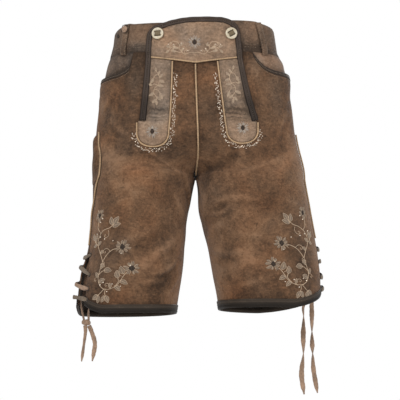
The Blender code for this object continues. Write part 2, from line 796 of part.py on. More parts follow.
def make_waistband(side):
    seam = SEAM_GAP / 2
    for name, angles_at, count in (
        ("waistband_front_", lambda z: (0.0, off_seam(side, -seam, z)), 16),
        ("waistband_back_", lambda z: (off_seam(side, seam, z), math.pi), 12),
    ):
        columns = []
        for c in range(count + 1):
            top = top_edge(side, eased(*angles_at(0.0), count)[c])
            heights = spread(top, -WAISTBAND, 3)
            columns.append([leather(side, eased(*angles_at(z), count)[c], z) for z in heights])
        add_columns(name + SIDES[side], columns, "suede", BAND_WALL, side)


def make_facing(side):
    """The hip piece that shows above the pocket's mouth and runs on a little way behind the panel."""
    start = angle_at(side, side * (MOUTHS[side][0].x - 0.002), MOUTH_TOP)
    columns = []
    for share in spread(0.0, 1.0, 10):
        angle = start + (off_seam(side, -SEAM_GAP / 2, MOUTH_TOP) - start) * share
        column = []
        for z in spread(MOUTH_TOP, mouth_height(side, angle) - FACING_TUCK, 4):
            angle = start + (off_seam(side, -SEAM_GAP / 2, z) - start) * share
            column.append(leather(side, angle, z))
        columns.append(column)
    add_columns("hip_facing_" + SIDES[side], columns, "suede", TRIM, side)


# ---------------------------------------------------------------- flap


def make_yoke():
    """The embroidered upper part of the flap, from its cross seam to its curved top."""
    columns = []
    for t in spread(-1.0, 1.0, 16):
        share = 0.6 * math.sin(math.pi / 2 * t) + 0.4 * t
        side = LEFT if share >= 0 else RIGHT
        top_x = share * (slit(side, -0.034) - EDGE_INSET)
        top_z = along(FLAP_TOP, top_x, "z", by="x") - EDGE_INSET
        low_x = share * (slit(side, FLAP_SEAM[1]) - EDGE_INSET)
        low_z = flap_seam(low_x) + SEAM_GAP / 2
        column = []
        for down in spread(0.0, 1.0, 6):
            x, z = top_x + (low_x - top_x) * down, top_z + (low_z - top_z) * down
            column.append(on_front(x, z, flap_lift(z)))
        columns.append(column)
    rows = [list(row) for row in zip(*columns)]
    add_wall("flap_yoke", rows, "light_suede", LEATHER)


def add_front_ribbon(name, path, width_at, lift_at, thickness, material):
    """A strip of trim that follows a path of (x, z) on the front, three points wide."""
    rows = []
    for k, (x, z) in enumerate(path):
        x0, z0 = path[max(k - 1, 0)]
        x1, z1 = path[min(k + 1, len(path) - 1)]
        run = math.hypot(x1 - x0, z1 - z0)
        half = width_at(z) / 2
        across = ((z1 - z0) / run * half, (x0 - x1) / run * half)
        row = []
        for share in (-1, 0, 1):
            px, pz = x + across[0] * share, z + across[1] * share
            row.append(on_front(px, pz, lift_at(k, pz)))
        rows.append(row)
    return add_wall(name, rows, material, thickness, mirrored=True)


def make_binding():
    """The dark strip up one side of the flap, over its top and down the other side."""
    heights = spread(BINDING_END, FLAP_TOP[0].z, 14)[:-1]
    path = [(-slit(RIGHT, z), z) for z in heights]
    path += [(row.x, row.z) for row in FLAP_TOP]
    path += [(slit(LEFT, z), z) for z in reversed(heights)]
    over_yoke = LEATHER + LAY_GAP
    add_front_ribbon(
        "flap_binding",
        path,
        binding_width,
        lambda _, z: flap_lift(z) + over_yoke,
        TRIM,
        "dark_leather",
    )


def tuck_lift(z):
    return sum(t.height * math.exp(-(((z - t.z) / t.width) ** 2)) for t in TUCKS)


def tongue_middle(side):
    """The middle and half width of the tongue's round end."""
    tongue = TONGUES[side]
    inner = pipe_line(side, tongue.turn)
    return (inner + tongue.outer) / 2, (tongue.outer - inner) / 2


def make_tongue(side):
    """The light patch beside the flap's slit, with cross tucks and a round lower end."""
    tongue = TONGUES[side]
    clear = PIPE_R + LAY_GAP
    rows = []

    def add_row(z, x_in, x_out, slant=0.0):
        row = []
        for x in spread(x_in, x_out, 5):
            height = z + slant * (flap_seam(x) - flap_seam(x_in))
            row.append(on_front(side * x, height, LEATHER + LAY_GAP + tuck_lift(z)))
        rows.append(row)

    def inner_x(z):
        return pipe_line(side, z) + clear

    def lean(z):
        return (slit(side, z - 0.002) - slit(side, z + 0.002)) / 0.004

    def binding_x(z):
        return slit(side, z) - binding_width(z) / 2 * math.hypot(1, lean(z)) - SEAM_GAP - 0.0004

    start = flap_seam(pipe_line(side, -0.07)) - clear
    for share in spread(0.0, 1.0, 4):
        z = start + (-0.1495 - start) * share
        add_row(z, inner_x(z), binding_x(z), 1 - share)
    shoulder = BINDING_END - BINDING[1] / 2 * lean(BINDING_END) - SEAM_GAP
    for z in (-0.1540, -0.1570, -0.1600, -0.1645, -0.1700, -0.1745, shoulder):
        add_row(z, inner_x(z), binding_x(z))
    shoulder -= SEAM_GAP
    for z in (shoulder, (shoulder + tongue.turn) / 2, tongue.turn):
        add_row(z, inner_x(z), tongue.outer - clear)
    centre, half = tongue_middle(side)
    for degrees in (22, 42, 58, 71, 82):
        arc = math.radians(degrees)
        reach = (half - clear) * powered(math.cos(arc), TONGUE_POWER)
        z = tongue.turn - (tongue.drop - clear) * powered(math.sin(arc), TONGUE_POWER)
        add_row(z, centre - reach, centre + reach)
    add_wall("tongue_" + SIDES[side], rows, "light_suede", TRIM, side == RIGHT)


# ---------------------------------------------------------------- piping


def pipe_lift():
    return LEATHER + LAY_GAP + PIPE_R


def make_tongue_piping(side):
    """Down the tongue's inner edge, round its end, and up to the end of the flap's binding."""
    tongue = TONGUES[side]
    start = flap_seam(pipe_line(side, -0.07)) - 2 * PIPE_R - LAY_GAP
    line = [(pipe_line(side, z), z) for z in spread(start, tongue.turn, 12)]
    centre, half = tongue_middle(side)
    for degrees in range(14, 180, 14):
        arc = math.radians(degrees)
        x = centre - half * powered(math.cos(arc), TONGUE_POWER)
        line.append((x, tongue.turn - tongue.drop * powered(math.sin(arc), TONGUE_POWER)))
    line += [(tongue.outer, tongue.turn), (tongue.outer, -0.1900), (tongue.outer, -0.1825)]
    points = [on_front(side * x, z, pipe_lift()) for x, z in line]
    add_tube("tongue_piping_" + SIDES[side], points, PIPE_R, "piping")


def make_cross_piping():
    """The piping in the flap's cross seam."""
    z = FLAP_SEAM[1]
    ends = [side * (slit(side, z) - binding_width(z) / 2 - LAY_GAP) for side in (RIGHT, LEFT)]
    points = []
    for x in spread(*ends, 16):
        z = flap_seam(x)
        points.append(on_front(x, z, flap_lift(z) + pipe_lift() + 0.0002))
    add_tube("flap_seam_piping", points, PIPE_R, "piping")


def make_centre_piping():
    """The piping down the centre front seam, from the flap's cross seam to the crotch."""
    points = []
    for z in spread(FLAP_SEAM[0] - 2 * PIPE_R - LAY_GAP, -0.262, 20):
        valley = 0.010 * leg_share(z)
        both = [leather(side, 0.0, z, pipe_lift() + valley) for side in (RIGHT, LEFT)]
        middle = (both[0] + both[1]) / 2
        middle.x = along(CENTRE_SEAM, z, "shift")
        points.append(middle)
    add_tube("centre_piping", points, PIPE_R, "piping")


def make_side_piping(side):
    """The piping down the side seam, from below the pocket to the vent."""
    points = []
    for z in spread(-0.192, VENTS[side].top + 0.004, 16):
        points.append(leather(side, off_seam(side, 0.0, z), z, pipe_lift()))
    add_tube("side_piping_" + SIDES[side], points, PIPE_R, "piping")


# ---------------------------------------------------------------- knife pocket


def make_knife_pocket():
    """A narrow pocket behind the right side seam. Its slanting upper edge stands open."""
    columns = []
    for across in spread(0.0, 1.0, 8):
        arch = math.sin(math.pi * across)
        top = KNIFE_TOP - KNIFE_SLANT * across
        end = KNIFE_END + 0.008 * (1 - arch)
        column = []
        for down in spread(0.0, 1.0, 6):
            z = top + (end - top) * down
            bulge = KNIFE_BULGE * arch**0.7 * (1 - smooth(0.45, 1.0, down))
            angle = off_seam(RIGHT, KNIFE_START + KNIFE_WIDTH * across, z)
            column.append(leather(RIGHT, angle, z, LEATHER + LAY_GAP + bulge))
        columns.append(column)
    add_columns("knife_pocket_right", columns, "suede", TRIM, RIGHT)


# ---------------------------------------------------------------- hems


def make_hem_binding(side):
    """A dark strip folded round the hem, from one edge of the side vent to the other."""
    outer, inner = LEATHER + LAY_GAP, -LAY_GAP
    profile = (
        (outer + TRIM, HEM_BAND),
        (outer + TRIM, -LAY_GAP - TRIM),
        (inner - TRIM, -LAY_GAP - TRIM),
        (inner - TRIM, HEM_BAND * 0.6),
        (inner, HEM_BAND * 0.6),
        (inner, -LAY_GAP),
        (outer, -LAY_GAP),
        (outer, HEM_BAND),
    )
    rings = []
    stations = [(front_angles, c) for c in reversed(range(CENTRE_COLUMNS + 1 + len(SIDE_SHARES)))]
    stations += [(back_angles, c) for c in reversed(range(BACK_COLUMNS + 1))]
    for angles_at, c in stations:
        bottom = hem_height(side, angles_at(side, HEM_LEVEL)[c])
        heights = [(lift, bottom + rise) for lift, rise in profile]
        rings.append([leather(side, angles_at(side, z)[c], z, lift) for lift, z in heights])
    add_loft("hem_binding_" + SIDES[side], rings, "dark_leather", side == RIGHT)


# ---------------------------------------------------------------- laces


def seated(side, arc, z, lift):
    """A point lift above the flat cells that the panels are made of, or above the line over the vent."""
    angle = off_seam(side, arc, z)
    around = [*front_angles(side, z), *back_angles(side, z)]
    after = next(k for k, column in enumerate(around) if column > angle)
    near, far = around[after - 1], around[after]
    start = leather(side, near, z, lift)
    return start + (leather(side, far, z, lift) - start) * ((angle - near) / (far - near))


def make_lace_bars(side):
    """Short crossings of the thong over the vent, each from a front eyelet to a back one."""
    for number, bar in enumerate(BARS[side], 1):
        reach = vent_gap(side, bar.z) + EYELET_INSET
        base = LEATHER + LAY_GAP + (TRIM + LAY_GAP if bar.on_binding else 0.0)
        rows = []
        for share in spread(-1.0, 1.0, 9):
            middle = bar.z + BAR_SLANT * share
            arch = BAR_ARCH * (1 - share**2)
            knob = bar.knob * math.exp(-(((share - 0.6) / 0.3) ** 2))
            row = []
            for across in (0.5, -0.5):
                z = middle + THONG * across
                row.append(seated(side, reach * share, z, base + arch + knob))
            rows.append(row)
        add_wall(f"lace_bar_{SIDES[side]}_{number}", rows, "thong", THONG_WALL, side == LEFT)


def make_laces():
    """The free ends of both laces, and the right one's two short runs down to its knot."""
    for name, table in TAILS.items():
        add_thong("lace_tail_" + name, table, TAIL_WIDTHS[name], "thong", pointed=True)
    for name, table in RUNS.items():
        add_thong("lace_run_" + name, table, RUN_WIDTH, "thong")
    mesh = bpy.data.meshes.new("lace_knot_right")
    edit = bmesh.new()
    bmesh.ops.create_uvsphere(edit, u_segments=12, v_segments=8, radius=1.0)
    edit.to_mesh(mesh)
    edit.free()
    mesh.transform(Matrix.Diagonal((*KNOT_SIZE, 1)))
    mesh.shade_smooth()
    knot = link("lace_knot_right", mesh, "thong")
    knot.location = KNOT_CENTRE


# ---------------------------------------------------------------- buttons and loops

SLOT = Vector((0.0124, 0.0030))  # width and height of each slot in a button
BRIDGE = 0.0042
STRAP = Vector((0.0104, 0.0012))  # width and thickness of the strap through a button


def surface_frame(x, z, lift):
    """A matrix whose local Z points out of the front at (x, z), with local Y upwards."""
    side = side_of(x, z)
    angle = angle_at(side, x, z)
    out = outward(side, angle, z)
    across = Vector((0, 0, 1)).cross(out).normalized()
    frame = Matrix((across, out.cross(across), out)).transposed().to_4x4()
    frame.translation = leather(side, angle, z, lift)
    return frame


def make_button(side):
    """A round horn button with two slots, and the leather strap that holds it through them."""
    x, z = BUTTON_PLACES[side]
    stand = TRIM + LAY_GAP  # it stands clear of the flap's binding
    base = flap_lift(z) + LEATHER + LAY_GAP + stand
    frame = surface_frame(x, z, base) @ Matrix.Rotation(math.radians(BUTTON_TURN[side]), 4, "Z")
    rim, wall = BUTTON_R, BUTTON_WALL
    face = wall - 0.0007
    profile = (
        (0.0, face),
        (rim - 0.0032, face),
        (rim - 0.0026, wall),
        (rim - 0.0010, wall),
        (rim, wall - 0.0009),
        (rim, 0.0009),
        (rim - 0.0008, 0.0),
        (0.0, 0.0),
    )
    button = turned("horn_button_" + SIDES[side], profile, 24, "horn")
    button.matrix_world = frame
    for name, sign in (("upper", 1), ("lower", -1)):
        bpy.ops.mesh.primitive_cube_add(size=1)
        cutter = bpy.context.object
        cutter.name = f"cut_{name}_{SIDES[side]}"
        cutter.data.transform(Matrix.Diagonal((SLOT.x, SLOT.y, 0.02, 1)))
        shift = Matrix.Translation((0, sign * (BRIDGE + SLOT.y) / 2, 0))
        cutter.matrix_world = frame @ shift
        cutter.hide_render = True
        cutter.display_type = "WIRE"
        for holder in list(cutter.users_collection):
            holder.objects.unlink(cutter)
        CUTTERS.objects.link(cutter)
        cut = button.modifiers.new(name, "BOOLEAN")
        cut.operation = "DIFFERENCE"
        cut.object = cutter
    over, foot = face + LAY_GAP, -stand
    inner = BRIDGE / 2 + LAY_GAP
    outer = inner + STRAP.y
    section = (
        (-outer, foot),
        (-outer, over + STRAP.y * 0.6),
        (-inner + 0.0002, over + STRAP.y),
        (inner - 0.0002, over + STRAP.y),
        (outer, over + STRAP.y * 0.6),
        (outer, foot),
        (inner, foot),
        (inner, over),
        (-inner, over),
        (-inner, foot),
    )
    ends = (-STRAP.x / 2, STRAP.x / 2)
    rings = [[frame @ Vector((end, y, h)) for y, h in section] for end in ends]
    add_loft("button_strap_" + SIDES[side], rings, "dark_leather")


LOOP_DROP = 0.0042  # how far a belt loop runs on below the waistband


def loop_lift(share):
    """A belt loop lies on the waistband at both ends and stands off it between them."""
    stand = 0.0024 * smooth(0.0, 0.16, share) * (1 - smooth(0.84, 1.0, share))
    return BAND_WALL + LAY_GAP + stand


def make_belt_loop(side):
    loop, count = FRONT_LOOPS[side], 9
    top = top_edge(side, angle_at(side, loop.x_top, 0.0)) - 0.0010
    path = []
    for share in spread(0.0, 1.0, count):
        x = loop.x_top + (loop.x_bottom - loop.x_top) * share
        path.append((x, top + (-WAISTBAND - LOOP_DROP - top) * share))
    name = "belt_loop_" + SIDES[side]
    lift_at = lambda k, _: loop_lift(k / count)
    add_front_ribbon(name, path, lambda _: BELT_LOOP, lift_at, THONG_WALL, "suede")


def make_knot_button():
    """The small leather knot that fastens the head of the right belt loop."""
    base = loop_lift(0.14) + THONG_WALL + LAY_GAP + 0.0006
    profile = (
        (0.0, 0.0046),
        (0.0022, 0.0043),
        (0.0042, 0.0031),
        (0.0052, 0.0015),
        (0.0046, 0.0003),
        (0.0036, 0.0),
        (0.0, 0.0),
    )
    knot = turned("waist_knot_right", profile, 14, "thong")
    knot.matrix_world = surface_frame(-0.1243, -0.0090, base)


# ---------------------------------------------------------------- build

PARTS, CUTTERS = start_scene()
for one_side in (RIGHT, LEFT):
    make_front(one_side)
    make_back(one_side)
    make_waistband(one_side)
    make_facing(one_side)
    make_tongue(one_side)
    make_tongue_piping(one_side)
    make_side_piping(one_side)
    make_hem_binding(one_side)
    make_lace_bars(one_side)
    make_button(one_side)
    make_belt_loop(one_side)
make_yoke()
make_binding()
make_cross_piping()
make_centre_piping()
make_knife_pocket()
make_laces()
make_knot_button()
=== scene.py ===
"""Dresses the fixed solids of a pair of short suede lederhosen: leather, trims, laces, horn and thread.

Metres, +Z up. The front faces -Y and the wearer's right side is at -X. The origin is the centre of
the waist opening. A place on the leather is a side, an angle round the body and a height. The angle
runs from 0 at the centre front (the inseam, on a leg) through the outer side to pi at the back.
"""

import math

import bmesh
import bpy
import numpy as np
from bpy.props import FloatProperty, FloatVectorProperty, IntProperty, PointerProperty
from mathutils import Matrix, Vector


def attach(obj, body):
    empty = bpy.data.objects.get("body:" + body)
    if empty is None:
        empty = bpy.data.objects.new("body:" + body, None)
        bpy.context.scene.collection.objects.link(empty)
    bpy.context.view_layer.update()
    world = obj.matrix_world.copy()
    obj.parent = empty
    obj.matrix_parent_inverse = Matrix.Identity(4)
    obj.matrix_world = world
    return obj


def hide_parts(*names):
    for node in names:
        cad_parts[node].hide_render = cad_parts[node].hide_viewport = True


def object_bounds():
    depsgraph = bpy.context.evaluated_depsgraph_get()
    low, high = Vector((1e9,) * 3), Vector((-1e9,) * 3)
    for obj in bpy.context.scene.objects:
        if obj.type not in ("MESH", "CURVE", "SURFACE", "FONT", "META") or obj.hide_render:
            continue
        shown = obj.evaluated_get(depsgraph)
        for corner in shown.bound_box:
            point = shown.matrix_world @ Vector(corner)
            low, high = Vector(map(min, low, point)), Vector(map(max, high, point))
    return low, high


bl_info = {
    "name": "Suede lederhosen",
    "version": (1, 0, 0),
    "blender": (4, 5, 0),
    "location": "3D View > Sidebar > Lederhosen",
    "description": "Leather, trims, laces, horn buttons and embroidery for a pair of lederhosen",
    "category": "Add Mesh",
}

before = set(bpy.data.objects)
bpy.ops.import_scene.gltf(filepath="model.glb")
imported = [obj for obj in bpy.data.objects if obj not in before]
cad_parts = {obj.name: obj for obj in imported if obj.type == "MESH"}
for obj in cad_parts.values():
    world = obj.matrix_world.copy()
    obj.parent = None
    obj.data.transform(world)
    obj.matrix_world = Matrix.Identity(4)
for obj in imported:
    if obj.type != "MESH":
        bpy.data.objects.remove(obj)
CAD_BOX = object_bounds()

# ---------------------------------------------------------------- the cut


def rows_of(names, text):
    """Rows of numbers. Columns are in millimetres and come out in metres, except those marked *."""
    scales = [1 if name.endswith("*") else 1000 for name in names.split()]
    return [tuple(float(v) / s for v, s in zip(row.split(), scales)) for row in text.strip().split("\n")]


class Table:
    """Rows of numbers under named columns, read on a smooth curve through the rows."""

    def __init__(self, names, text):
        data = np.array(sorted(rows_of(names, text)))
        self.keys = data[:, 0]
        self.columns = dict(zip(names.replace("*", "").split(), data.T))
        before = np.maximum(np.arange(len(data)) - 1, 0)
        after = np.minimum(np.arange(len(data)) + 1, len(data) - 1)
        run = self.keys[after] - self.keys[before]
        self.slopes = {n: (v[after] - v[before]) / run for n, v in self.columns.items()}

    def __call__(self, column, at):
        keys, values, slopes = self.keys, self.columns[column], self.slopes[column]
        at = np.clip(at, keys[0], keys[-1])
        i = np.clip(np.searchsorted(keys, at) - 1, 0, len(keys) - 2)
        step = keys[i + 1] - keys[i]
        t = (at - keys[i]) / step
        start, end = values[i], values[i + 1]
        cubic = (start - end) * 2 + (slopes[i] + slopes[i + 1]) * step
        square = (end - start) * 3 - (2 * slopes[i] + slopes[i + 1]) * step
        return ((cubic * t + square) * t + slopes[i] * step) * t + start


RIGHT, LEFT = -1, 1  # the wearer's sides, as signs of X
SIDES = {RIGHT: "right", LEFT: "left"}
BOTH = (RIGHT, LEFT)

LEATHER = 0.0016
TRIM = 0.0011
SEAM_GAP = 0.00001
LAY_GAP = 0.0004
PIPE_R = 0.0015
WAISTBAND = 0.053
BAND_WALL = 0.0018
RISE_TOP = -0.198
CROTCH = -0.274
RISE_POWER = 2.5
LEG_POWER = 2.25
INSEAM_Y = 0.010
MOUTH_TOP = -WAISTBAND - SEAM_GAP
# The sizes below are in millimetres, apart from the columns marked *: degrees and plain numbers.
HIP_WIDTHS = Table("z right left", """
12 148.2 144
0 149 144.6
-13 150 146.3
-30 152.2 148.8
-44 156 151.6
-53 158.6 156.6
-62 162 162.4
-75 165.2 165.6
-92 169 170.8
-110 174.6 173.8
-127 178.4 175.6
-145 179.2 178.4
-165 181.2 180.6
-185 183.2 182.6
-205 184.6 185.8
-230 186.6 190.6
-255 188 196
-274 189.2 200
""")
HIP_DEPTHS = Table("z front back power*", """
12 111 112 3.2
0 111.5 113 3.2
-33 114 117 3
-64 116.2 122.5 2.8
-94 117.5 130 2.6
-125 118 137 2.45
-155 117.8 141.5 2.35
-185 116.2 143 2.3
-215 114 140.5 2.3
-245 111.5 134.5 2.3
-274 109 127 2.3
""")
LEGS = {
    RIGHT: Table("z inner outer front back", """
-274 2.3 189.2 108 126
-290 6 189.8 107.5 123
-320 11.5 190 106.2 116
-340 16 192.2 105.2 111.5
-370 20 193.6 103.8 106
-400 22 197 102 100
-430 24 203 100 94.5
-456 27.2 208.5 98.5 90.5
-486 32 213 96.2 86
-532 39 216.5 93.5 81.5
"""),
    LEFT: Table("z inner outer front back", """
-274 2.3 200 108 126
-290 5 202.6 107.5 123
-320 7 208.2 106.2 116
-340 9.6 211.6 105.2 111.5
-370 16 217 103.8 106
-400 24 222.6 102 100
-430 29.5 226.8 100 94.5
-456 34 229.6 98.5 90.5
-486 40 229.6 96.2 86
-532 47 226.5 93.5 81.5
"""),
}
CENTRE_SEAM = Table("z shift", """
0 0
-75 0
-144 2.2
-205 4.6
-235 4.8
-262 0.8
-280 0
-540 0
""")
SIDE_SEAM = Table("z right* left*", """
0 87 90
-100 83 90
-150 77 89
-190 71.5 88
-214 69 88
-232 66.5 88
-250 68 88.5
-269 71 89
-295 75.5 89.5
-330 79.5 90
-380 81 90
-430 78.5 90
-486 76 90
-540 75 90
""")
TOP_EDGE = Table("degrees* right left", """
0 0 4
38 0 5
46 2 3
53 0 1.8
63 -3 0.6
77 -5.5 -0.2
95 -4 -1
135 0 0
180 0 0
""")
FLAP_TOP = Table("x z", """
-83.2 -34
-81.6 -23.5
-76.6 -15
-67.6 -10
-56.3 -6.2
-45 -2.4
-32.5 0.6
-19 3
-4 4.3
16.4 4.9
36 4.5
49 3.6
58.5 0.8
67.2 -4.2
72.8 -11.5
75.6 -22.5
76.5 -34
""")
FLAP = Table("z slit_right slit_left pipe_right pipe_left", """
-34 83.2 76.5 40.6 38
-65 85 80 41.4 39.2
-102 87.7 87.2 42.4 43.4
-144 91.5 97 43.8 48.6
-180 95.2 107.8 46 53.2
-202 96.8 112.5 48 57
""")
MOUTHS = {
    RIGHT: Table("x z", """
112 -53.01
114.5 -66
118.8 -79
129 -87.2
145 -92.6
160 -95
174 -94.5
"""),
    LEFT: Table("x z", """
101 -53.01
112.5 -68
122.2 -78
133.5 -84
148 -86.4
162 -86.6
174 -85.8
"""),
}
HEM_LINE = Table("degrees* right left", """
0 -521.5 -515
40 -526.2 -515.8
90 -526.2 -516.5
135 -525 -518.2
180 -521.5 -515
""")
FOLDS = rows_of("side* degrees* height tilt* length width ridge", """
-1 34 -432 -28 50 18 3.4
-1 24 -474 -34 42 17 -2.8
-1 12 -390 -22 40 18 2.8
-1 58 -240 32 60 19 2.6
1 14 -318 26 50 19 3.4
1 10 -366 20 40 18 -2.6
1 30 -440 12 52 20 2.6
1 60 -250 38 60 19 2.6
-1 148 -258 -18 56 20 3.8
-1 146 -306 -12 50 20 -2.6
1 148 -258 -20 56 20 3.8
1 146 -308 -10 50 20 -2.6
-1 128 -366 14 64 21 2.8
1 132 -356 10 64 21 2.8
""")
# Narrower creases with a trough below.
CREASES = rows_of("side* degrees* height tilt* length width ridge bend*", """
-1 30 -416 -36 36 6.2 2.4 3
-1 24 -447 -26 30 5.5 2 -4
-1 31 -469 -8 26 6 1.6 5
-1 44 -392 -24 34 7 1.3 -3
-1 10 -300 46 34 6 1.5 4
-1 16 -335 32 38 6.5 1.4 -3
-1 14 -470 -42 26 5.5 1.4 4
-1 56 -298 14 34 7 1.1 3
-1 70 -372 24 30 6.5 1.1 -4
-1 62 -140 -30 26 6 1.1 4
-1 48 -190 38 34 7 1.2 -3
-1 26 -243 54 32 5.8 1.3 3
1 34 -320 4 40 6 2.1 3
1 27 -344 18 24 5 1.6 -4
1 24 -418 -4 42 6.2 2 -3
1 9 -292 -48 32 6 1.6 4
1 17 -372 22 36 6.6 1.4 3
1 38 -472 16 32 6.4 1.2 -3
1 46 -262 34 40 7.2 1.2 3
1 66 -330 -18 30 6.6 1.1 -4
1 58 -176 42 34 6.6 1.2 3
1 72 -130 20 24 5.8 1 3
1 25 -238 -52 30 5.8 1.3 -3
1 40 -388 -12 28 5.6 1 4
-1 152 -284 -26 44 6.6 2.4 3
-1 158 -322 -14 36 6 1.9 -3
-1 140 -352 8 40 6.6 1.6 3
-1 126 -398 18 38 6.6 1.5 -3
-1 150 -436 -10 34 6 1.4 4
-1 118 -250 34 36 6.8 1.4 -3
-1 134 -176 -24 38 7 1.2 3
-1 108 -330 -20 32 6.4 1.3 4
-1 160 -226 52 32 6 1.4 -3
-1 132 -482 12 32 6.2 1.2 3
1 154 -290 -22 42 6.4 2.3 -3
1 144 -334 -2 40 6.2 1.8 4
1 158 -374 16 32 5.8 1.4 -3
1 128 -386 12 40 6.6 1.6 3
1 112 -300 -28 36 6.8 1.3 -4
1 122 -236 30 38 6.8 1.4 3
1 142 -182 -30 36 6.8 1.2 -3
1 106 -430 10 32 6.2 1.2 4
1 150 -462 -14 34 6 1.3 3
1 162 -228 50 30 6 1.4 3
""")
# Where the nap lies lighter or darker, and redder or greyer. The two dark rows at one degree and -270 mm are
# painted shade at the crotch.
STAINS = rows_of("side* degrees* height across up light* warm*", """
-1 46 -300 38 36 0.42 0.35
-1 41 -338 28 30 0.16 0.2
-1 48 -270 18 14 -0.22 0.55
-1 12 -246 26 34 -0.24 -0.15
-1 66 -306 20 26 -0.32 -0.1
-1 20 -390 40 30 -0.24 -0.1
-1 26 -470 36 28 -0.3 -0.2
-1 50 -500 30 18 0.24 0.5
-1 31 -430 22 20 0.16 0.45
-1 9 -135 26 32 0.02 0.6
-1 50 -143 22 18 0.02 0.5
-1 60 -176 24 20 -0.16 -0.45
-1 38 -256 30 20 0.05 0.45
-1 30 -220 30 28 0.12 0.05
-1 5 -190 14 60 -0.14 -0.05
-1 60 -430 42 70 -0.2 -0.42
1 18 -262 24 26 -0.46 -0.2
1 20 -308 26 24 -0.36 -0.2
1 50 -290 34 30 -0.1 0.15
1 46 -360 36 26 0.18 0.15
1 25 -420 18 14 -0.48 -0.25
1 40 -424 26 30 0.1 0.45
1 24 -480 36 24 -0.06 0.45
1 60 -262 14 32 0.24 0.5
1 66 -440 38 70 -0.2 -0.42
1 5 -170 24 34 -0.06 -0.3
1 8 -115 24 20 -0.1 0.3
1 54 -143 30 24 0.02 -0.4
1 70 -170 30 30 -0.2 0.25
1 38 -225 36 26 -0.04 0.25
1 30 -500 40 14 -0.22 0
-1 34 -105 24 45 -0.05 -1.2
1 34 -76 24 24 0.55 -0.95
1 14 -305 40 45 -0.2 -0.6
1 1 -270 7 11 -1.2 -0.3
-1 1 -270 7 11 -1.2 -0.3
1 52 -112 32 24 0.32 -0.8
-1 150 -200 50 50 0.34 0.15
-1 120 -140 36 30 -0.14 0.35
-1 164 -290 30 36 -0.38 -0.15
-1 128 -320 40 36 0.22 0.35
-1 146 -400 44 34 -0.22 -0.1
-1 112 -420 34 40 0.14 0.2
-1 132 -480 44 26 0.24 0.4
-1 100 -250 30 40 -0.14 -0.25
1 148 -206 48 48 0.32 0.1
1 118 -150 36 34 0.1 -0.3
1 165 -284 30 36 -0.38 -0.1
1 126 -330 44 34 -0.16 0.35
1 144 -388 40 36 0.28 0.25
1 116 -440 36 36 -0.22 -0.25
1 140 -476 40 26 0.12 0.4
1 102 -240 30 44 0.1 0.3
""")

FLAP_STAND = 0.0031
FLAP_SEAM = (-0.0750, -0.0645)
BINDING = (0.0098, 0.0122)
EDGE_INSET = 0.0015
BINDING_END = -0.1795
SLIT_END = -0.1812
TONGUES = {RIGHT: (0.1052, -0.2010, 0.0252), LEFT: (0.1122, -0.1965, 0.0240)}  # outer, turn, drop
TONGUE_POWER = 2.3
TUCKS = [(-0.157, 0.0060, 0.0022), (-0.1745, 0.0034, 0.0018)]  # height, half width, ridge
MOUTH_LIFT = 0.0019
MOUTH_GAPE = 0.0040
FACING_TUCK = 0.010
# half gap, curl, top, rise, front reach, back reach
VENTS = {
    RIGHT: (0.0105, 0.0045, -0.405, 0.020, 0.055, 0.075),
    LEFT: (0.0060, 0.0, -0.388, 0.031, 0.105, 0.160),
}
VENT_OPENING = 0.036
HEM_CORNER_POWER = 1.3
CREASE_DEPTH = 1.45
HEM_LEVEL = -0.515
HEM_BAND = 0.014


def smooth(low, high, value):
    """0 at low, 1 at high, with a soft start and end."""
    t = np.clip((value - low) / (high - low), 0.0, 1.0)
    return t * t * (3 - 2 * t)


def bell(value, reach):
    """1 at 0, and falling away on both sides over about the reach."""
    return np.exp(-((value / reach) ** 2))


def stacked(*parts):
    """Arrays of one shape as the columns of one array."""
    return np.stack(parts, -1)


def powered(value, power):
    """value to the exponent that turns an ellipse into a squarer section, with its sign kept."""
    return np.copysign(np.abs(value) ** (2 / power), value)


def leg_share(z):
    """0 on the hips, 1 on the legs; between them the centre seams run back under the body."""
    return np.clip((RISE_TOP - z) / (RISE_TOP - CROTCH), 0.0, 1.0) ** RISE_POWER


def section(side, angle, z):
    """Points of the leather's inner face, before any folds."""
    angle, z = np.broadcast_arrays(np.asarray(angle, float), np.asarray(z, float))
    share, sine, cosine = leg_share(z), np.sin(angle), np.cos(angle)
    power = HIP_DEPTHS("power", z)
    depth = np.where(cosine > 0, HIP_DEPTHS("front", z), HIP_DEPTHS("back", z))
    hip_x = SEAM_GAP / 2 + HIP_WIDTHS(SIDES[side], z) * powered(sine, power)
    hip_y = -depth * powered(cosine, power)
    leg = LEGS[side]
    inner, outer = leg("inner", z), leg("outer", z)
    leg_x = (inner + outer) / 2 - (outer - inner) / 2 * powered(np.cos(2 * angle), LEG_POWER)
    turn = powered(np.sin(2 * angle), LEG_POWER)
    reach = np.where(turn > 0, leg("front", z) + INSEAM_Y, leg("back", z) - INSEAM_Y)
    leg_y = INSEAM_Y - reach * turn
    x = hip_x + share * (leg_x - hip_x)
    y = hip_y + share * (leg_y - hip_y)
    stray = CENTRE_SEAM("shift", z) * np.maximum(0.0, cosine) ** 2
    return stacked(side * x + stray, y, z)


def unit(vectors):
    return vectors / np.maximum(np.linalg.norm(vectors, axis=-1, keepdims=True), 1e-12)


def outward(side, angle, z):
    """Unit vectors that point straight out of the leather."""
    turn, step = math.radians(1.5), 0.003
    low, high = np.maximum(angle - turn, 0.0), np.minimum(angle + turn, math.pi)
    round_it = section(side, high, z) - section(side, low, z)
    up_it = section(side, angle, z + step) - section(side, angle, z - step)
    return side * unit(np.cross(round_it, up_it))


def seam_angle(side, z):
    return np.radians(SIDE_SEAM(SIDES[side], z))


def arc_scale(side, z):
    """About how far the leather runs for each radian of the angle, near the side."""
    hip = HIP_WIDTHS(SIDES[side], z)
    radius = (LEGS[side]("outer", z) - LEGS[side]("inner", z)) / 2
    return hip + leg_share(z) * (2 * radius - hip)


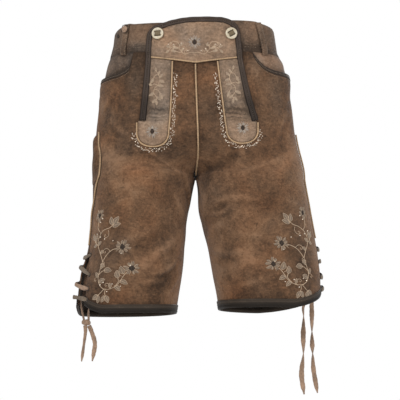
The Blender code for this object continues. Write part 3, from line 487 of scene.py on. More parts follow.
def off_seam(side, arc, z):
    """The angle of a place that lies arc behind the side seam, measured along the leather."""
    return seam_angle(side, z) + arc / arc_scale(side, z)


def vent_gap(side, z):
    """Half the width of the side vent at a height."""
    half_gap, _, top = VENTS[side][:3]
    return SEAM_GAP / 2 + half_gap * smooth(top, top - VENT_OPENING, z)


def vent_curl(side, angle, z):
    """How far the leather behind the side vent curls out."""
    curl, top = VENTS[side][1:3]
    gap = vent_gap(side, z)
    arc = (angle - seam_angle(side, z)) * arc_scale(side, z)
    fade = bell(np.maximum(0.0, arc - gap), 0.024)
    return curl * smooth(top, top - 0.05, z) * smooth(-gap, gap, arc) * fade


def fold_height(side, angle, z):
    """The folds that the leather stands in, and the finer creases between them."""
    total = vent_curl(side, angle, z)
    for own, degrees, level, tilt, length, width, ridge, *bend in FOLDS + CREASES:
        if own != side:
            continue
        across = (angle - math.radians(degrees)) * HIP_WIDTHS(SIDES[side], z)
        down, turn = z - level, math.radians(tilt)
        run = across * math.cos(turn) + down * math.sin(turn)
        off = down * math.cos(turn) - across * math.sin(turn)
        if not bend:
            total = total + ridge * np.exp(-((run / length) ** 2) - (off / width) ** 2)
            continue
        off = off + bend[0] * run**2
        fade = np.exp(-((run / length) ** 4))
        beside = bell(off + 1.7 * width, 1.3 * width)
        total = total + CREASE_DEPTH * ridge * fade * (bell(off, width) - 0.55 * beside)
    return total


def leather(side, angle, z, lift=0.0):
    """Points lift above the leather's inner face, with the folds."""
    angle, z, lift = np.broadcast_arrays(angle, z, lift)
    height = lift + fold_height(side, angle, z)
    return section(side, angle, z) + outward(side, angle, z) * height[..., None]


def angle_at(side, x, z):
    """The angles at which one side's leather is at x, when seen from the front."""
    x, z = np.broadcast_arrays(np.asarray(x, float), np.asarray(z, float))
    low, high = np.zeros(x.shape), np.full(x.shape, math.pi / 2)
    for _ in range(28):
        middle = (low + high) / 2
        short = side * section(side, middle, z)[..., 0] < side * x
        low, high = np.where(short, middle, low), np.where(short, high, middle)
    return low


def on_front(x, z, lift=0.0):
    """The points of the leather that are at x and z when seen from the front."""
    x, z, lift = (np.array(v, float) for v in np.broadcast_arrays(x, z, lift))
    found, seam = np.empty(x.shape + (3,)), CENTRE_SEAM("shift", z)
    for side in BOTH:
        mine = (x >= seam) == (side == LEFT)
        if mine.any():
            angle = angle_at(side, x[mine], z[mine])
            found[mine] = leather(side, angle, z[mine], lift[mine])
    near = np.abs(x - seam) < SEAM_GAP
    found[near, 0] = x[near]
    return found


def beside_seam(side):
    """A placing function for (arc behind the side seam, height, lift)."""
    return lambda arc, z, lift=0.0: leather(side, off_seam(side, arc, z), z, lift)


def hem_height(side, angle):
    """The height of the hem, which rises in a round corner at the side vent."""
    _, _, _, rise, front_reach, back_reach = VENTS[side]
    arc = (angle - seam_angle(side, HEM_LEVEL)) * arc_scale(side, HEM_LEVEL)
    near = np.maximum(0.0, 1 - np.abs(arc) / np.where(arc < 0, front_reach, back_reach))
    return HEM_LINE(SIDES[side], np.degrees(angle)) + rise * near**HEM_CORNER_POWER


def top_edge(side, angle):
    return TOP_EDGE(SIDES[side], np.degrees(angle))


def slit(side, z):
    return FLAP("slit_" + SIDES[side], z)


def pipe_line(side, z):
    return FLAP("pipe_" + SIDES[side], z)


def flap_seam(x):
    """The height of the flap's cross seam, a shallow V."""
    centre, edge = FLAP_SEAM
    return centre + (edge - centre) * np.minimum(1.0, np.abs(x) / slit(LEFT, edge))


def flap_lift(z):
    """How far the flap lies out: nothing below its cross seam, over the waistband above."""
    return FLAP_STAND * smooth(-0.067, -0.054, z)


def binding_width(z):
    upper, lower = BINDING
    return upper + (lower - upper) * smooth(-0.05, BINDING_END, z)


def mouth_height(side, angle):
    """The height of the pocket's mouth at an angle, level with the waistband's seam before it."""
    low = np.full(np.shape(angle), -0.110)
    high = np.full(np.shape(angle), MOUTH_TOP)
    for _ in range(22):
        middle = (low + high) / 2
        x = np.abs(section(side, angle, middle)[..., 0])
        short = middle < MOUTHS[side]("z", x)
        low, high = np.where(short, middle, low), np.where(short, high, middle)
    return high


def pocket_lift(side, angle, z):
    """How far the front panel lies out from the body near the pocket's mouth."""
    mouth = mouth_height(side, angle)
    below = np.maximum(0.0, mouth - z)
    x = np.abs(section(side, angle, mouth)[..., 0])
    start = MOUTHS[side].keys[0]
    lies = MOUTH_LIFT * smooth(start - 0.015, start - 0.004, x) * (1 - smooth(0.013, 0.040, below))
    gape = smooth(start + 0.004, start + 0.040, x) * (1 - 0.45 * smooth(0.150, 0.176, x))
    return lies + MOUTH_GAPE * gape * (1 - smooth(0.0, 0.034, below))


def tuck_lift(z):
    return sum(ridge * bell(z - level, half) for level, half, ridge in TUCKS)


def spread(start, end, count):
    """count + 1 values from start to end."""
    return np.linspace(start, end, count + 1)


def smooth_route(knots, steps):
    """Points on a smooth curve through the knots, with so many steps between each two."""
    knots = np.asarray(knots, float)
    ends = np.vstack([knots[0] * 2 - knots[1], knots, knots[-1] * 2 - knots[-2]])
    before, a, b, after = ends[:-3], ends[1:-2], ends[2:-1], ends[3:]
    t = spread(0.0, 1.0, steps)[:-1, None, None]
    bend = (before * 2 - a * 5 + b * 4 - after) * t**2
    sway = (a * 3 - before - b * 3 + after) * t**3
    route = (a * 2 + (b - before) * t + bend + sway) * 0.5
    return np.vstack([route.transpose(1, 0, 2).reshape(-1, knots.shape[1]), knots[-1:]])


def nap_tone(side, angle, z):
    """How light, how warm and how worn the nap is at places on the leather, as three columns. The light column
    also holds painted light and shade for the folds.
    """
    angle, z = np.broadcast_arrays(angle, z)
    light, warm = np.zeros(z.shape), np.zeros(z.shape)
    reach = HIP_WIDTHS(SIDES[side], z)
    for own, degrees, level, across, up, lighter, warmer in STAINS:
        if own == side:
            off = ((angle - math.radians(degrees)) * reach / across) ** 2
            share = np.exp(-((off + ((z - level) / up) ** 2) ** 1.3))
            light, warm = light + lighter * share, warm + warmer * share
    # Painted light and shade for the folds' relief: lighter on their ridges, darker in their valleys. The worn
    # column marks the ridges' wear.
    folds = np.clip((fold_height(side, angle, z) - vent_curl(side, angle, z)) / 0.0034, -1.0, 1.0)
    return stacked(light + 0.62 * folds, warm, np.maximum(folds, 0.0))


def front_tone(x, z):
    """nap_tone at places that are given as seen from the front."""
    x, z = np.broadcast_arrays(np.asarray(x, float), np.asarray(z, float))
    tones, seam = np.zeros(x.shape + (3,)), CENTRE_SEAM("shift", z)
    for side in BOTH:
        mine = (x >= seam) == (side == LEFT)
        if mine.any():
            tones[mine] = nap_tone(side, angle_at(side, x[mine], z[mine]), z[mine])
    return tones


# ---------------------------------------------------------------- meshes


def add_object(name, data):
    made = bpy.data.objects.new(name, data)
    bpy.context.scene.collection.objects.link(made)
    return made


def point_vectors(mesh, name, values):
    """Stores a vector for each point of a mesh."""
    layer = mesh.attributes.new(name, "FLOAT_VECTOR", "POINT")
    layer.data.foreach_set("vector", np.ascontiguousarray(values, dtype=np.float32).ravel())


def add_mesh(name, points, faces, covers, which=0, tone=None, corners=None):
    """A piece made of points and faces.

    covers names its finishes, which says the one of each face, and corners holds a UV pair for
    each corner of each face.
    """
    mesh = bpy.data.meshes.new(name)
    mesh.from_pydata(np.asarray(points, float).tolist(), [], [list(map(int, f)) for f in faces])
    for cover in covers.split():
        mesh.materials.append(finish(cover))
    mesh.polygons.foreach_set("material_index", np.broadcast_to(which, len(faces)).astype(int))
    if tone is not None:
        point_vectors(mesh, "tone", tone)
    if corners is not None:
        layer = mesh.uv_layers.new(name="UVMap")
        layer.data.foreach_set("uv", np.ascontiguousarray(corners, dtype=np.float32).ravel())
    edit = bmesh.new()
    edit.from_mesh(mesh)
    bmesh.ops.delete(edit, geom=[v for v in edit.verts if not v.link_faces], context="VERTS")
    bmesh.ops.recalc_face_normals(edit, faces=edit.faces)
    edit.to_mesh(mesh)
    edit.free()
    mesh.shade_smooth()
    return add_object(name, mesh)


def placed(piece, slot, *nodes):
    """Ties a finished piece to the body and hides the solids that it stands for. Its finish, the slot, is not
    used.
    """
    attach(piece, "root")
    if nodes:
        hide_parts(*nodes)
    return piece


def grid_cells(rows, columns):
    index = np.arange(rows * columns).reshape(rows, columns)
    corners = (index[:-1, :-1], index[1:, :-1], index[1:, 1:], index[:-1, 1:])
    return np.stack(corners, -1)


def shell_faces(cells, count):
    """The cells of a grid, their copies count points further on, and the rim between the two."""
    edges = np.concatenate([cells[:, [k, (k + 1) % 4]] for k in range(4)])
    ahead, behind = edges[:, 0] * count + edges[:, 1], edges[:, 1] * count + edges[:, 0]
    border = edges[~np.isin(ahead, behind)]
    rim = stacked(border[:, 1], border[:, 0], border[:, 0] + count, border[:, 1] + count)
    return np.vstack([cells, cells[:, ::-1] + count, rim])


def wall(name, inner, outer, covers, keep=None, tone=None, inner_tone=None):
    """A closed wall between two grids of points. The last cover is for the inner face."""
    rows, columns = inner.shape[:2]
    cells = grid_cells(rows, columns)
    cells = cells.reshape(-1, 4) if keep is None else cells[keep]
    faces = shell_faces(cells, rows * columns)
    which = (np.arange(len(faces)) < len(cells)) * (len(covers.split()) - 1)
    tone = np.stack([tone if inner_tone is None else inner_tone, tone])
    return add_mesh(name, np.stack([inner, outer]).reshape(-1, 3), faces, covers, which, tone)


def distances(points):
    """How far along a line each of its points lies."""
    return np.concatenate([[0.0], np.cumsum(np.linalg.norm(np.diff(points, axis=0), axis=1))])


def loft(name, rings, covers, tone=None):
    """A closed body through rings of points, with a UV map in metres along and round it."""
    rings = np.asarray(rings, float)
    count, size = rings.shape[:2]
    index = np.arange(count * size).reshape(count, size)
    near, far = index[:-1], index[1:]
    faces = stacked(near, far, np.roll(far, -1, 1), np.roll(near, -1, 1)).reshape(-1, 4)
    along = distances(rings.mean(1))
    steps = np.linalg.norm(np.roll(rings, -1, 1) - rings, axis=2).mean(0)
    around = np.concatenate([[0.0], np.cumsum(steps)])
    r, c = np.meshgrid(np.arange(count - 1), np.arange(size), indexing="ij")
    pairs = ((r, c), (r + 1, c), (r + 1, c + 1), (r, c + 1))
    uv = np.stack([stacked(along[i], around[j]) for i, j in pairs], 2).reshape(-1, 2)
    middle = (around[:-1, None] * [0, 1]).reshape(-1, 2)
    uv = np.vstack([uv, middle, middle[::-1] + [along[-1], 0]])
    faces = [*faces.tolist(), index[0].tolist(), index[-1][::-1].tolist()]
    return add_mesh(name, rings.reshape(-1, 3), faces, covers, 0, tone, uv)


def across_of(path):
    """Unit vectors square to a path of (u, v), to its right."""
    run = np.gradient(np.asarray(path, float), axis=0)
    return unit(stacked(run[:, 1], -run[:, 0]))


def strip_rings(place, path, halves, profile, base):
    """Rings along a path of (u, v). The profile's points are (share of the half width, height)."""
    path, profile = np.asarray(path, float), np.asarray(profile, float)
    side_step = across_of(path) * np.broadcast_to(halves, len(path))[:, None]
    spots = path[:, None, :] + side_step[:, None, :] * profile[None, :, :1]
    lifts = np.broadcast_to(base, len(path))[:, None] + profile[None, :, 1]
    return place(spots[..., 0], spots[..., 1], lifts)


def evenly(path, step):
    """The path again, with points about step apart."""
    run = distances(path)
    at = np.linspace(0.0, run[-1], max(2, int(round(run[-1] / step)) + 1))
    return np.stack([np.interp(at, run, column) for column in path.T], -1)


def round_profile(height, count, flat):
    """A low, rounded section for a strip: its upper face and then its flat underside."""
    turn = np.linspace(-1.0, 1.0, count)
    crown = np.sqrt(np.maximum(0.0, 1 - np.abs(turn) ** 3))
    top = [(t, flat + (height - flat) * c) for t, c in zip(turn, crown)]
    return top + [(1.0, 0.0), (0.4, 0.0), (-0.4, 0.0), (-1.0, 0.0)]


def tube_rings(points, radius, sides=10, up=(0.0, 0.0, 1.0)):
    """Rings round a line of points."""
    points = np.asarray(points, float)
    run = unit(np.gradient(points, axis=0))
    across = unit(np.cross(run, np.broadcast_to(up, points.shape)))
    over = np.cross(across, run)
    turn = np.arange(sides) * 2 * math.pi / sides
    radius = np.broadcast_to(radius, len(points))[:, None, None]
    ring = np.cos(turn)[None, :, None] * across[:, None] + np.sin(turn)[None, :, None] * over[:, None]
    return points[:, None] + ring * radius


# ---------------------------------------------------------------- node graphs


def maths(operation, turned=False):
    """A method of Wire that adds one Math node, with its operands the other way round if turned."""

    def method(self, *others):
        values = (*others, self) if turned else (self, *others)
        return self.graph.node("ShaderNodeMath", {"operation": operation}, dict(enumerate(values)))

    return method


class Wire:
    """A node's output. Arithmetic on it adds Math nodes to its graph."""

    __add__ = __radd__ = maths("ADD")
    __sub__, __rsub__ = maths("SUBTRACT"), maths("SUBTRACT", True)
    __mul__ = __rmul__ = maths("MULTIPLY")
    __mod__ = maths("MODULO")
    sine, least, most = maths("SINE"), maths("MINIMUM"), maths("MAXIMUM")

    def __init__(self, graph, socket):
        self.graph, self.socket = graph, socket

    def between(self, low, high):
        """0 at low, 1 at high, with soft ends."""
        settings = {"interpolation_type": "SMOOTHSTEP"}
        values = {"Value": self, "From Min": low, "From Max": high}
        return self.graph.node("ShaderNodeMapRange", settings, values)


class Graph:
    """Adds and links the nodes of one tree."""

    def __init__(self, tree):
        self.tree = tree

    def node(self, kind, settings=None, values=None, output=0):
        """Adds a node with its settings and the values or wires of its sockets, and gives an output."""
        made = self.tree.nodes.new(kind)
        for key, value in (settings or {}).items():
            if key == "stops":
                ramp = made.color_ramp.elements
                ramp[0].position, ramp[1].position = value[0][0], value[-1][0]
                for position, _ in value[1:-1]:
                    ramp.new(position)
                for element, (_, colour) in zip(ramp, value):
                    element.color = (*colour, 1.0)
            else:
                setattr(made, key, value)
        for key, value in (values or {}).items():
            socket = made.inputs[key] if isinstance(key, int) else self.named(made.inputs, key)
            if isinstance(value, Wire):
                self.tree.links.new(value.socket, socket)
            else:
                socket.default_value = value
        if output is None:
            return None
        socket = made.outputs[output] if isinstance(output, int) else self.named(made.outputs, output)
        return Wire(self, socket)

    @staticmethod
    def named(sockets, name):
        return next(s for s in sockets if s.name == name and s.enabled)

    def noise(self, where, scale, detail=3.0, rough=0.55, warp=0.0):
        values = {"Vector": where, "Scale": scale, "Detail": detail, "Roughness": rough}
        return self.node("ShaderNodeTexNoise", None, {**values, "Distortion": warp})

    def stretched(self, where, scale, turn=(0.0, 0.0, 0.0)):
        values = {"Vector": where, "Scale": scale, "Rotation": turn}
        return self.node("ShaderNodeMapping", {"vector_type": "POINT"}, values)

    def blend(self, share, first, second, how="MIX"):
        settings = {"data_type": "RGBA", "blend_type": how}
        rgb = [(*c, 1.0) if isinstance(c, tuple) else c for c in (first, second)]
        values = {"Factor": share, "A": rgb[0], "B": rgb[1]}
        return self.node("ShaderNodeMix", settings, values, "Result")

    def ramp(self, value, *stops):
        return self.node("ShaderNodeValToRGB", {"stops": stops}, {"Fac": value})


def linear(colour):
    """Screen colour values from 0 to 255 as the light values that a shader takes."""
    shares = [c / 255 for c in colour]
    return tuple(s / 12.92 if s <= 0.04045 else ((s + 0.055) / 1.055) ** 2.4 for s in shares)


def shade(colour, *shares):
    """A colour with its channels times one share, or each times its own, up to full light."""
    return tuple(min(1.0, c * s) for c, s in zip(colour, shares * (3 // len(shares))))


def feed(graph, colour, roughness, height, strength, reach, **constants):
    """Links a finish's colour, roughness and relief to its shader and sets the shader's constants."""
    shader = graph.tree.nodes["Principled BSDF"]
    values = {"Strength": strength, "Distance": reach, "Height": height}
    bump = graph.node("ShaderNodeBump", None, values)
    for name, wire in (("Base Color", colour), ("Roughness", roughness), ("Normal", bump)):
        graph.tree.links.new(wire.socket, shader.inputs[name])
    for name, value in constants.items():
        shader.inputs[SHADER_SOCKETS[name]].default_value = value


SHADER_SOCKETS = {
    "sheen": "Sheen Weight",
    "sheen_rough": "Sheen Roughness",
    "coat": "Coat Weight",
    "coat_rough": "Coat Roughness",
    "shine": "Specular IOR Level",
}


def place_of(graph, kind="Object"):
    return graph.node("ShaderNodeTexCoord", None, None, kind)


def parts_of(graph, vector):
    """The three parts of a vector."""
    first = graph.node("ShaderNodeSeparateXYZ", None, {"Vector": vector})
    return [first, *(Wire(graph, first.socket.node.outputs[k]) for k in (1, 2))]


def tone_of(graph):
    """The three parts of the tone that is stored on the mesh."""
    return parts_of(graph, graph.node("ShaderNodeAttribute", {"attribute_name": "tone"}, None, "Vector"))


def suede(g, base, spots=1.0, scuffs=1.0):
    """Mottled, waxed suede. The tone says where it's lighter, warmer or worn; its lighter and darker places
    include painted light and shade.
    """
    where = place_of(g)
    light, warm, worn = tone_of(g)
    cloud = g.noise(where, 12.0, 4.0, 0.6, 0.6)
    mottle = g.noise(where, 52.0, 6.0, 0.72, 0.9)
    grain = g.noise(g.stretched(where, (190.0, 190.0, 260.0)), 1.0, 4.0, 0.75, 0.5)
    fibre = g.noise(g.stretched(where, (520.0, 520.0, 240.0)), 1.0, 3.0, 0.7)
    level = 0.5 + light * 0.62 + (cloud - 0.5) * 1.45 * spots + (mottle - 0.5) * 1.25 * spots
    level = level + (grain - 0.5) * 1.40 + (fibre - 0.5) * 0.55
    colour = g.ramp(
        level,
        (0.0, shade(base, 0.34)),
        (0.30, shade(base, 0.68)),
        (0.55, base),
        (0.80, shade(base, 1.36, 1.40, 1.42)),
        (1.0, shade(base, 1.75, 1.86, 1.96)),
    )
    hue = g.noise(where, 17.0, 3.0, 0.55, 0.4)
    hue = warm * 0.85 + (hue - 0.5) * 2.0 + (mottle - 0.5) * 0.8
    redder, greyer = hue.most(0.0).least(1.0), (0.0 - hue).most(0.0).least(1.0)
    colour = g.blend(redder * 0.62, colour, g.blend(1.0, colour, (1.20, 0.90, 0.68), "MULTIPLY"))
    colour = g.blend(greyer * 0.75, colour, g.blend(1.0, colour, (0.79, 1.0, 1.28), "MULTIPLY"))
    # dark flecks where the wax has gathered, and pale scuffs where the nap has rubbed away
    fleck = g.noise(where, 120.0, 3.0, 0.6, 0.3).between(0.61, 0.72) * 0.62 * spots
    colour = g.blend(fleck, colour, shade(base, 0.34))
    scratch = g.noise(g.stretched(where, (26.0, 26.0, 130.0), (0.3, 0.2, 0.9)), 1.0, 3.0, 0.6, 1.2)
    rubbed = (scratch.between(0.60, 0.80) * 0.30 * scuffs + worn * 0.22) * mottle.between(0.35, 0.6)
    colour = g.blend(rubbed, colour, tuple(min(1.0, c * 2.0 + 0.02) for c in base))
    crease = g.noise(g.stretched(where, (34.0, 34.0, 105.0), (0.2, 0.5, 0.1)), 1.0, 4.0, 0.6, 1.8)
    height = mottle * 0.9 + grain * 0.22 + fibre * 0.12 + crease * 1.7
    roughness = 0.80 + (mottle - 0.5) * 0.30 + (grain - 0.5) * 0.16
    relief = bpy.context.scene.lederhosen_leather.relief
    feed(g, colour, roughness, height, relief, 0.0016, sheen=0.05, sheen_rough=0.5, shine=0.14)


def waxed(g, base, gloss, worn_to):
    """Smooth trim leather with a fine grain, paler where it's rubbed. The tone darkens it, with painted shade
    in the grooves of the bindings and hems.
    """
    where = place_of(g)
    cloud = g.noise(where, 34.0, 4.0, 0.6, 0.5)
    grain = g.noise(where, 420.0, 4.0, 0.65)
    fine = g.node("ShaderNodeTexVoronoi", {"feature": "F1"}, {"Vector": where, "Scale": 620.0})
    rub = (cloud + (grain - 0.5) * 0.8).between(0.50, 0.78)
    colour = g.blend(rub * 0.55, shade(base, 0.82), shade(base, worn_to))
    sunk = tone_of(g)[0]
    colour = g.blend((1.0 - fine).between(0.55, 1.0) * 0.25, colour, shade(base, 0.55))
    # painted shade from the tone's first part
    colour = g.blend(sunk.most(0.0).least(1.0), colour, shade(base, 0.22))
    roughness = gloss + (cloud - 0.5) * 0.3 + rub * 0.12
    feed(g, colour, roughness, grain * 0.7 + fine * 0.5 + cloud * 0.6, 0.5, 0.0006, shine=0.14)


def rough_thong(g, base):
    """Split leather lacing: hairy along its length, with dark soiled stretches."""
    where = place_of(g)
    hairs = g.noise(g.stretched(place_of(g, "UV"), (120.0, 1500.0, 1.0)), 1.0, 3.0, 0.6, 0.6)
    cloud = g.noise(where, 70.0, 4.0, 0.65, 0.5)
    grain = g.noise(where, 600.0, 3.0, 0.6)
    level = 0.5 + (cloud - 0.5) * 1.5 + (hairs - 0.5) * 0.9 + (grain - 0.5) * 0.4
    colour = g.ramp(level, (0.0, shade(base, 0.38)), (0.45, shade(base, 0.86)), (1.0, shade(base, 1.5)))
    feed(g, colour, 0.84 + (cloud - 0.5) * 0.2, hairs * 0.8 + grain * 0.4, 0.6, 0.0007, sheen=0.15)


def seam_piping(g, base):
    """A rolled strip with little cross pulls between its stitches."""
    where = place_of(g)
    along = parts_of(g, place_of(g, "UV"))[0]
    pulls = (along * 1500.0).sine() * 0.5 + 0.5
    cloud = g.noise(where, 95.0, 4.0, 0.6, 0.4)
    grain = g.noise(where, 700.0, 3.0, 0.6)
    level = 0.5 + (cloud - 0.5) * 1.3 + (grain - 0.5) * 0.5 + (pulls - 0.5) * 0.22
    colour = g.ramp(level, (0.0, shade(base, 0.5)), (0.5, base), (1.0, shade(base, 1.35)))
    feed(g, colour, 0.66 + (cloud - 0.5) * 0.3, pulls * 0.8 + grain * 0.3, 0.5, 0.0005)


def satin_thread(g, base, sheen=0.15):
    """Embroidery thread laid side by side, so its relief runs across each stitch."""
    along = parts_of(g, place_of(g, "UV"))[0]
    rows = (along * 9000.0).sine() * 0.5 + 0.5
    soil = g.noise(place_of(g), 130.0, 3.0, 0.6)
    level = (soil - 0.5) * 1.3 + rows * 0.30 + 0.42
    colour = g.ramp(level, (0.0, shade(base, 0.42)), (0.5, base), (1.0, shade(base, 1.3)))
    feed(g, colour, 0.58 + (soil - 0.5) * 0.2, rows, 0.5, 0.0004, sheen=sheen)


def polished_horn(g, base):
    """Cream horn with faint brown growth bands and a soft polish."""
    where = place_of(g)
    bands = g.noise(g.stretched(where, (60.0, 60.0, 240.0), (0.3, 0.4, 0.2)), 1.0, 4.0, 0.6, 1.0)
    cloud = g.noise(where, 150.0, 4.0, 0.6)
    fine = g.noise(where, 900.0, 2.0, 0.5)
    colour = g.ramp(
        bands * 0.7 + cloud * 0.3,
        (0.0, shade(base, 0.46)),
        (0.36, shade(base, 0.86, 0.80, 0.68)),
        (0.55, base),
        (1.0, shade(base, 1.16)),
    )
    height = cloud * 0.6 + fine * 0.3
    feed(g, colour, 0.40 + (cloud - 0.5) * 0.3, height, 0.22, 0.0005, coat=0.12, coat_rough=0.3)


def glass_bead(g, base):
    """A small bead or seed with little shine."""
    cloud = g.noise(place_of(g), 500.0, 2.0, 0.5)
    colour = g.ramp(cloud, (0.3, shade(base, 0.6)), (0.7, tuple(c * 1.6 for c in base)))
    feed(g, colour, 0.42 + cloud * 0.2, cloud, 0.3, 0.0004, shine=0.12)


def even_floor(g, base):
    cloud = g.noise(place_of(g), 1.2, 3.0, 0.5)
    colour = g.blend(cloud, shade(base, 0.985), base)
    feed(g, colour, 0.75 + cloud * 0.08, g.noise(place_of(g), 40.0), 0.04, 0.001)


FINISHES = {  # the maker, the material's name and the maker's settings
    "suede": (suede, "goat suede"),
    "band": (suede, "waistband suede", 0.7, 0.7),
    "hip": (suede, "hip piece suede", 0.8),
    "pale": (suede, "pale flap suede", 0.55, 0.6),
    "tongue": (suede, "tongue suede", 0.55, 0.6),
    "inner": (suede, "dark inner face", 0.5, 0.2),
    "binding": (waxed, "flap binding leather", 0.50, 2.2),
    "hem": (waxed, "hem leather", 0.56, 1.9),
    "edge": (waxed, "mouth edge leather", 0.6, 1.7),
    "strap": (waxed, "button strap leather", 0.55, 1.6),
    "lace": (rough_thong, "worn lacing"),
    "thong": (rough_thong, "lacing thong"),
    "piping": (seam_piping, "seam piping"),
    "horn": (polished_horn, "button horn"),
    "thread": (satin_thread, "embroidery thread"),
    "silver": (satin_thread, "silver grey thread", 0.1),
    "frost": (satin_thread, "frost grey thread", 0.1),
    "seam": (satin_thread, "seam thread", 0.2),
    "shadow": (satin_thread, "dark seam thread", 0.1),
    "leaf": (satin_thread, "leaf thread", 0.2),
    "bead": (glass_bead, "dark flower centre"),
    "bright": (glass_bead, "bright bead"),
    "floor": (even_floor, "pale floor"),
}
SET_COLOURS = {"bead": (0.030, 0.021, 0.016), "floor": (0.86, 0.86, 0.85)}
MATERIALS = {}


def finish(name):
    """The named finish, made once."""
    if name not in MATERIALS:
        maker, label, *settings = FINISHES[name]
        base = SET_COLOURS.get(name) or getattr(bpy.context.scene.lederhosen_colours, name)
        material = MATERIALS[name] = bpy.data.materials.new(label)
        material.use_nodes = True
        material.diffuse_color = (0.3, 0.2, 0.13, 1.0)
        maker(Graph(material.node_tree), tuple(base), *settings)
    return MATERIALS[name]


# ---------------------------------------------------------------- repeated stitches


def tree_with(name, inputs):
    """A new geometry tree with named inputs, its graph and a wire from each input."""
    tree = bpy.data.node_groups.new(name, "GeometryNodeTree")
    tree.interface.new_socket("Geometry", in_out="INPUT", socket_type="NodeSocketGeometry")
    for label, kind in inputs:
        tree.interface.new_socket(label, in_out="INPUT", socket_type="NodeSocket" + kind)
    tree.interface.new_socket("Geometry", in_out="OUTPUT", socket_type="NodeSocketGeometry")
    graph = Graph(tree)
    group = graph.node("NodeGroupInput").socket.node
    wires = {s.name: Wire(graph, s) for s in group.outputs if s.name}
    return tree, graph, wires


def end_tree(graph, geometry, material):
    """Every tree ends in plain, smooth geometry with its material set."""
    plain = graph.node("GeometryNodeRealizeInstances", None, {"Geometry": geometry})
    soft = graph.node("GeometryNodeSetShadeSmooth", None, {"Geometry": plain})
    dressed = graph.node("GeometryNodeSetMaterial", None, {"Geometry": soft, "Material": material})
    graph.node("NodeGroupOutput", None, {"Geometry": dressed}, None)


def thread_tree():
    """A round thread along each line of the mesh."""
    inputs = (("Radius", "Float"), ("Sides", "Int"), ("Material", "Material"))
    tree, g, wire = tree_with("thread along lines", inputs)
    line = g.node("GeometryNodeMeshToCurve", None, {"Mesh": wire["Geometry"]})
    values = {"Resolution": wire["Sides"], "Radius": wire["Radius"]}
    circle = g.node("GeometryNodeCurvePrimitiveCircle", None, values)
    values = {"Curve": line, "Profile Curve": circle, "Fill Caps": True}
    end_tree(g, g.node("GeometryNodeCurveToMesh", None, values), wire["Material"])
    return tree


def stitch_tree():
    """A short, rounded stitch again and again along each line, turned this way and that."""
    sizes = [(name, "Float") for name in ("Spacing", "Length", "Width", "Swing", "Wander")]
    inputs = (*sizes, ("Seed", "Int"), ("Material", "Material"))
    tree, g, wire = tree_with("stitches along lines", inputs)
    line = g.node("GeometryNodeMeshToCurve", None, {"Mesh": wire["Geometry"]})
    values = {"Curve": line, "Length": wire["Spacing"]}
    spaced = g.node("GeometryNodeResampleCurve", {"mode": "LENGTH"}, values)
    ball = g.node("GeometryNodeMeshUVSphere", None, {"Segments": 8, "Rings": 5, "Radius": 0.5})
    values = {"X": wire["Length"], "Y": wire["Width"], "Z": wire["Width"] * 0.62}
    size = g.node("ShaderNodeCombineXYZ", None, values)
    stitch = g.node("GeometryNodeTransform", None, {"Geometry": ball, "Scale": size})
    run = g.node("GeometryNodeInputTangent")
    settings = {"data_type": "FLOAT_VECTOR"}
    up = g.node("GeometryNodeInputNamedAttribute", settings, {"Name": "up"}, "Attribute")
    turn = g.node("FunctionNodeAlignRotationToVector", {"axis": "X"}, {"Vector": run})
    settings = {"axis": "Z", "pivot_axis": "X"}
    turn = g.node("FunctionNodeAlignRotationToVector", settings, {"Rotation": turn, "Vector": up})
    parity = g.node("GeometryNodeInputIndex") % 2.0
    values = {"Min": -1.0, "Max": 1.0, "Seed": wire["Seed"]}
    chance = g.node("FunctionNodeRandomValue", {"data_type": "FLOAT"}, values, "Value")
    swing = (parity * 2.0 - 1.0) * wire["Swing"] + chance * wire["Wander"]
    spin = g.node("ShaderNodeCombineXYZ", None, {"Z": swing})
    settings = {"rotation_space": "LOCAL"}
    turn = g.node("FunctionNodeRotateRotation", settings, {"Rotation": turn, "Rotate By": spin})
    values = {"Points": spaced, "Instance": stitch, "Rotation": turn}
    end_tree(g, g.node("GeometryNodeInstanceOnPoints", None, values), wire["Material"])
    return tree


def bead_tree():
    """A small bead on each point of the mesh."""
    inputs = (("Size", "Float"), ("Variation", "Float"), ("Seed", "Int"), ("Material", "Material"))
    tree, g, wire = tree_with("beads on points", inputs)
    dots = g.node("GeometryNodeMeshToPoints", None, {"Mesh": wire["Geometry"]})
    ball = g.node("GeometryNodeMeshUVSphere", None, {"Segments": 8, "Rings": 6, "Radius": 0.5})
    values = {"Min": -1.0, "Max": 1.0, "Seed": wire["Seed"]}
    chance = g.node("FunctionNodeRandomValue", {"data_type": "FLOAT"}, values, "Value")
    size = wire["Size"] * (1.0 + chance * wire["Variation"])
    scale = g.node("ShaderNodeCombineXYZ", None, {"X": size, "Y": size, "Z": size})
    values = {"Points": dots, "Instance": ball, "Scale": scale}
    end_tree(g, g.node("GeometryNodeInstanceOnPoints", None, values), wire["Material"])
    return tree


TREES = {}


def run_tree(name, key, maker, points, lines, ups, settings):
    """Runs a geometry tree on lines of points, and keeps its result as a plain piece."""
    if key not in TREES:
        TREES[key] = maker()
    tree = TREES[key]
    mesh = bpy.data.meshes.new(name + ".lines")
    mesh.from_pydata(np.asarray(points, float).tolist(), lines, [])
    point_vectors(mesh, "up", ups)
    guide = add_object(name + ".guide", mesh)
    modifier = guide.modifiers.new(key, "NODES")
    modifier.node_group = tree
    sockets = {s.name: s.identifier for s in tree.interface.items_tree if s.in_out == "INPUT"}
    for label, value in settings.items():
        modifier[sockets[label]] = value
    graph = bpy.context.evaluated_depsgraph_get()
    result = bpy.data.meshes.new_from_object(guide.evaluated_get(graph))
    guide.modifiers.remove(modifier)
    bpy.data.objects.remove(guide)
    if not result.polygons:
        raise RuntimeError(f"{name}: the tree {tree.name} made nothing")
    result.name = name
    return add_object(name, result)


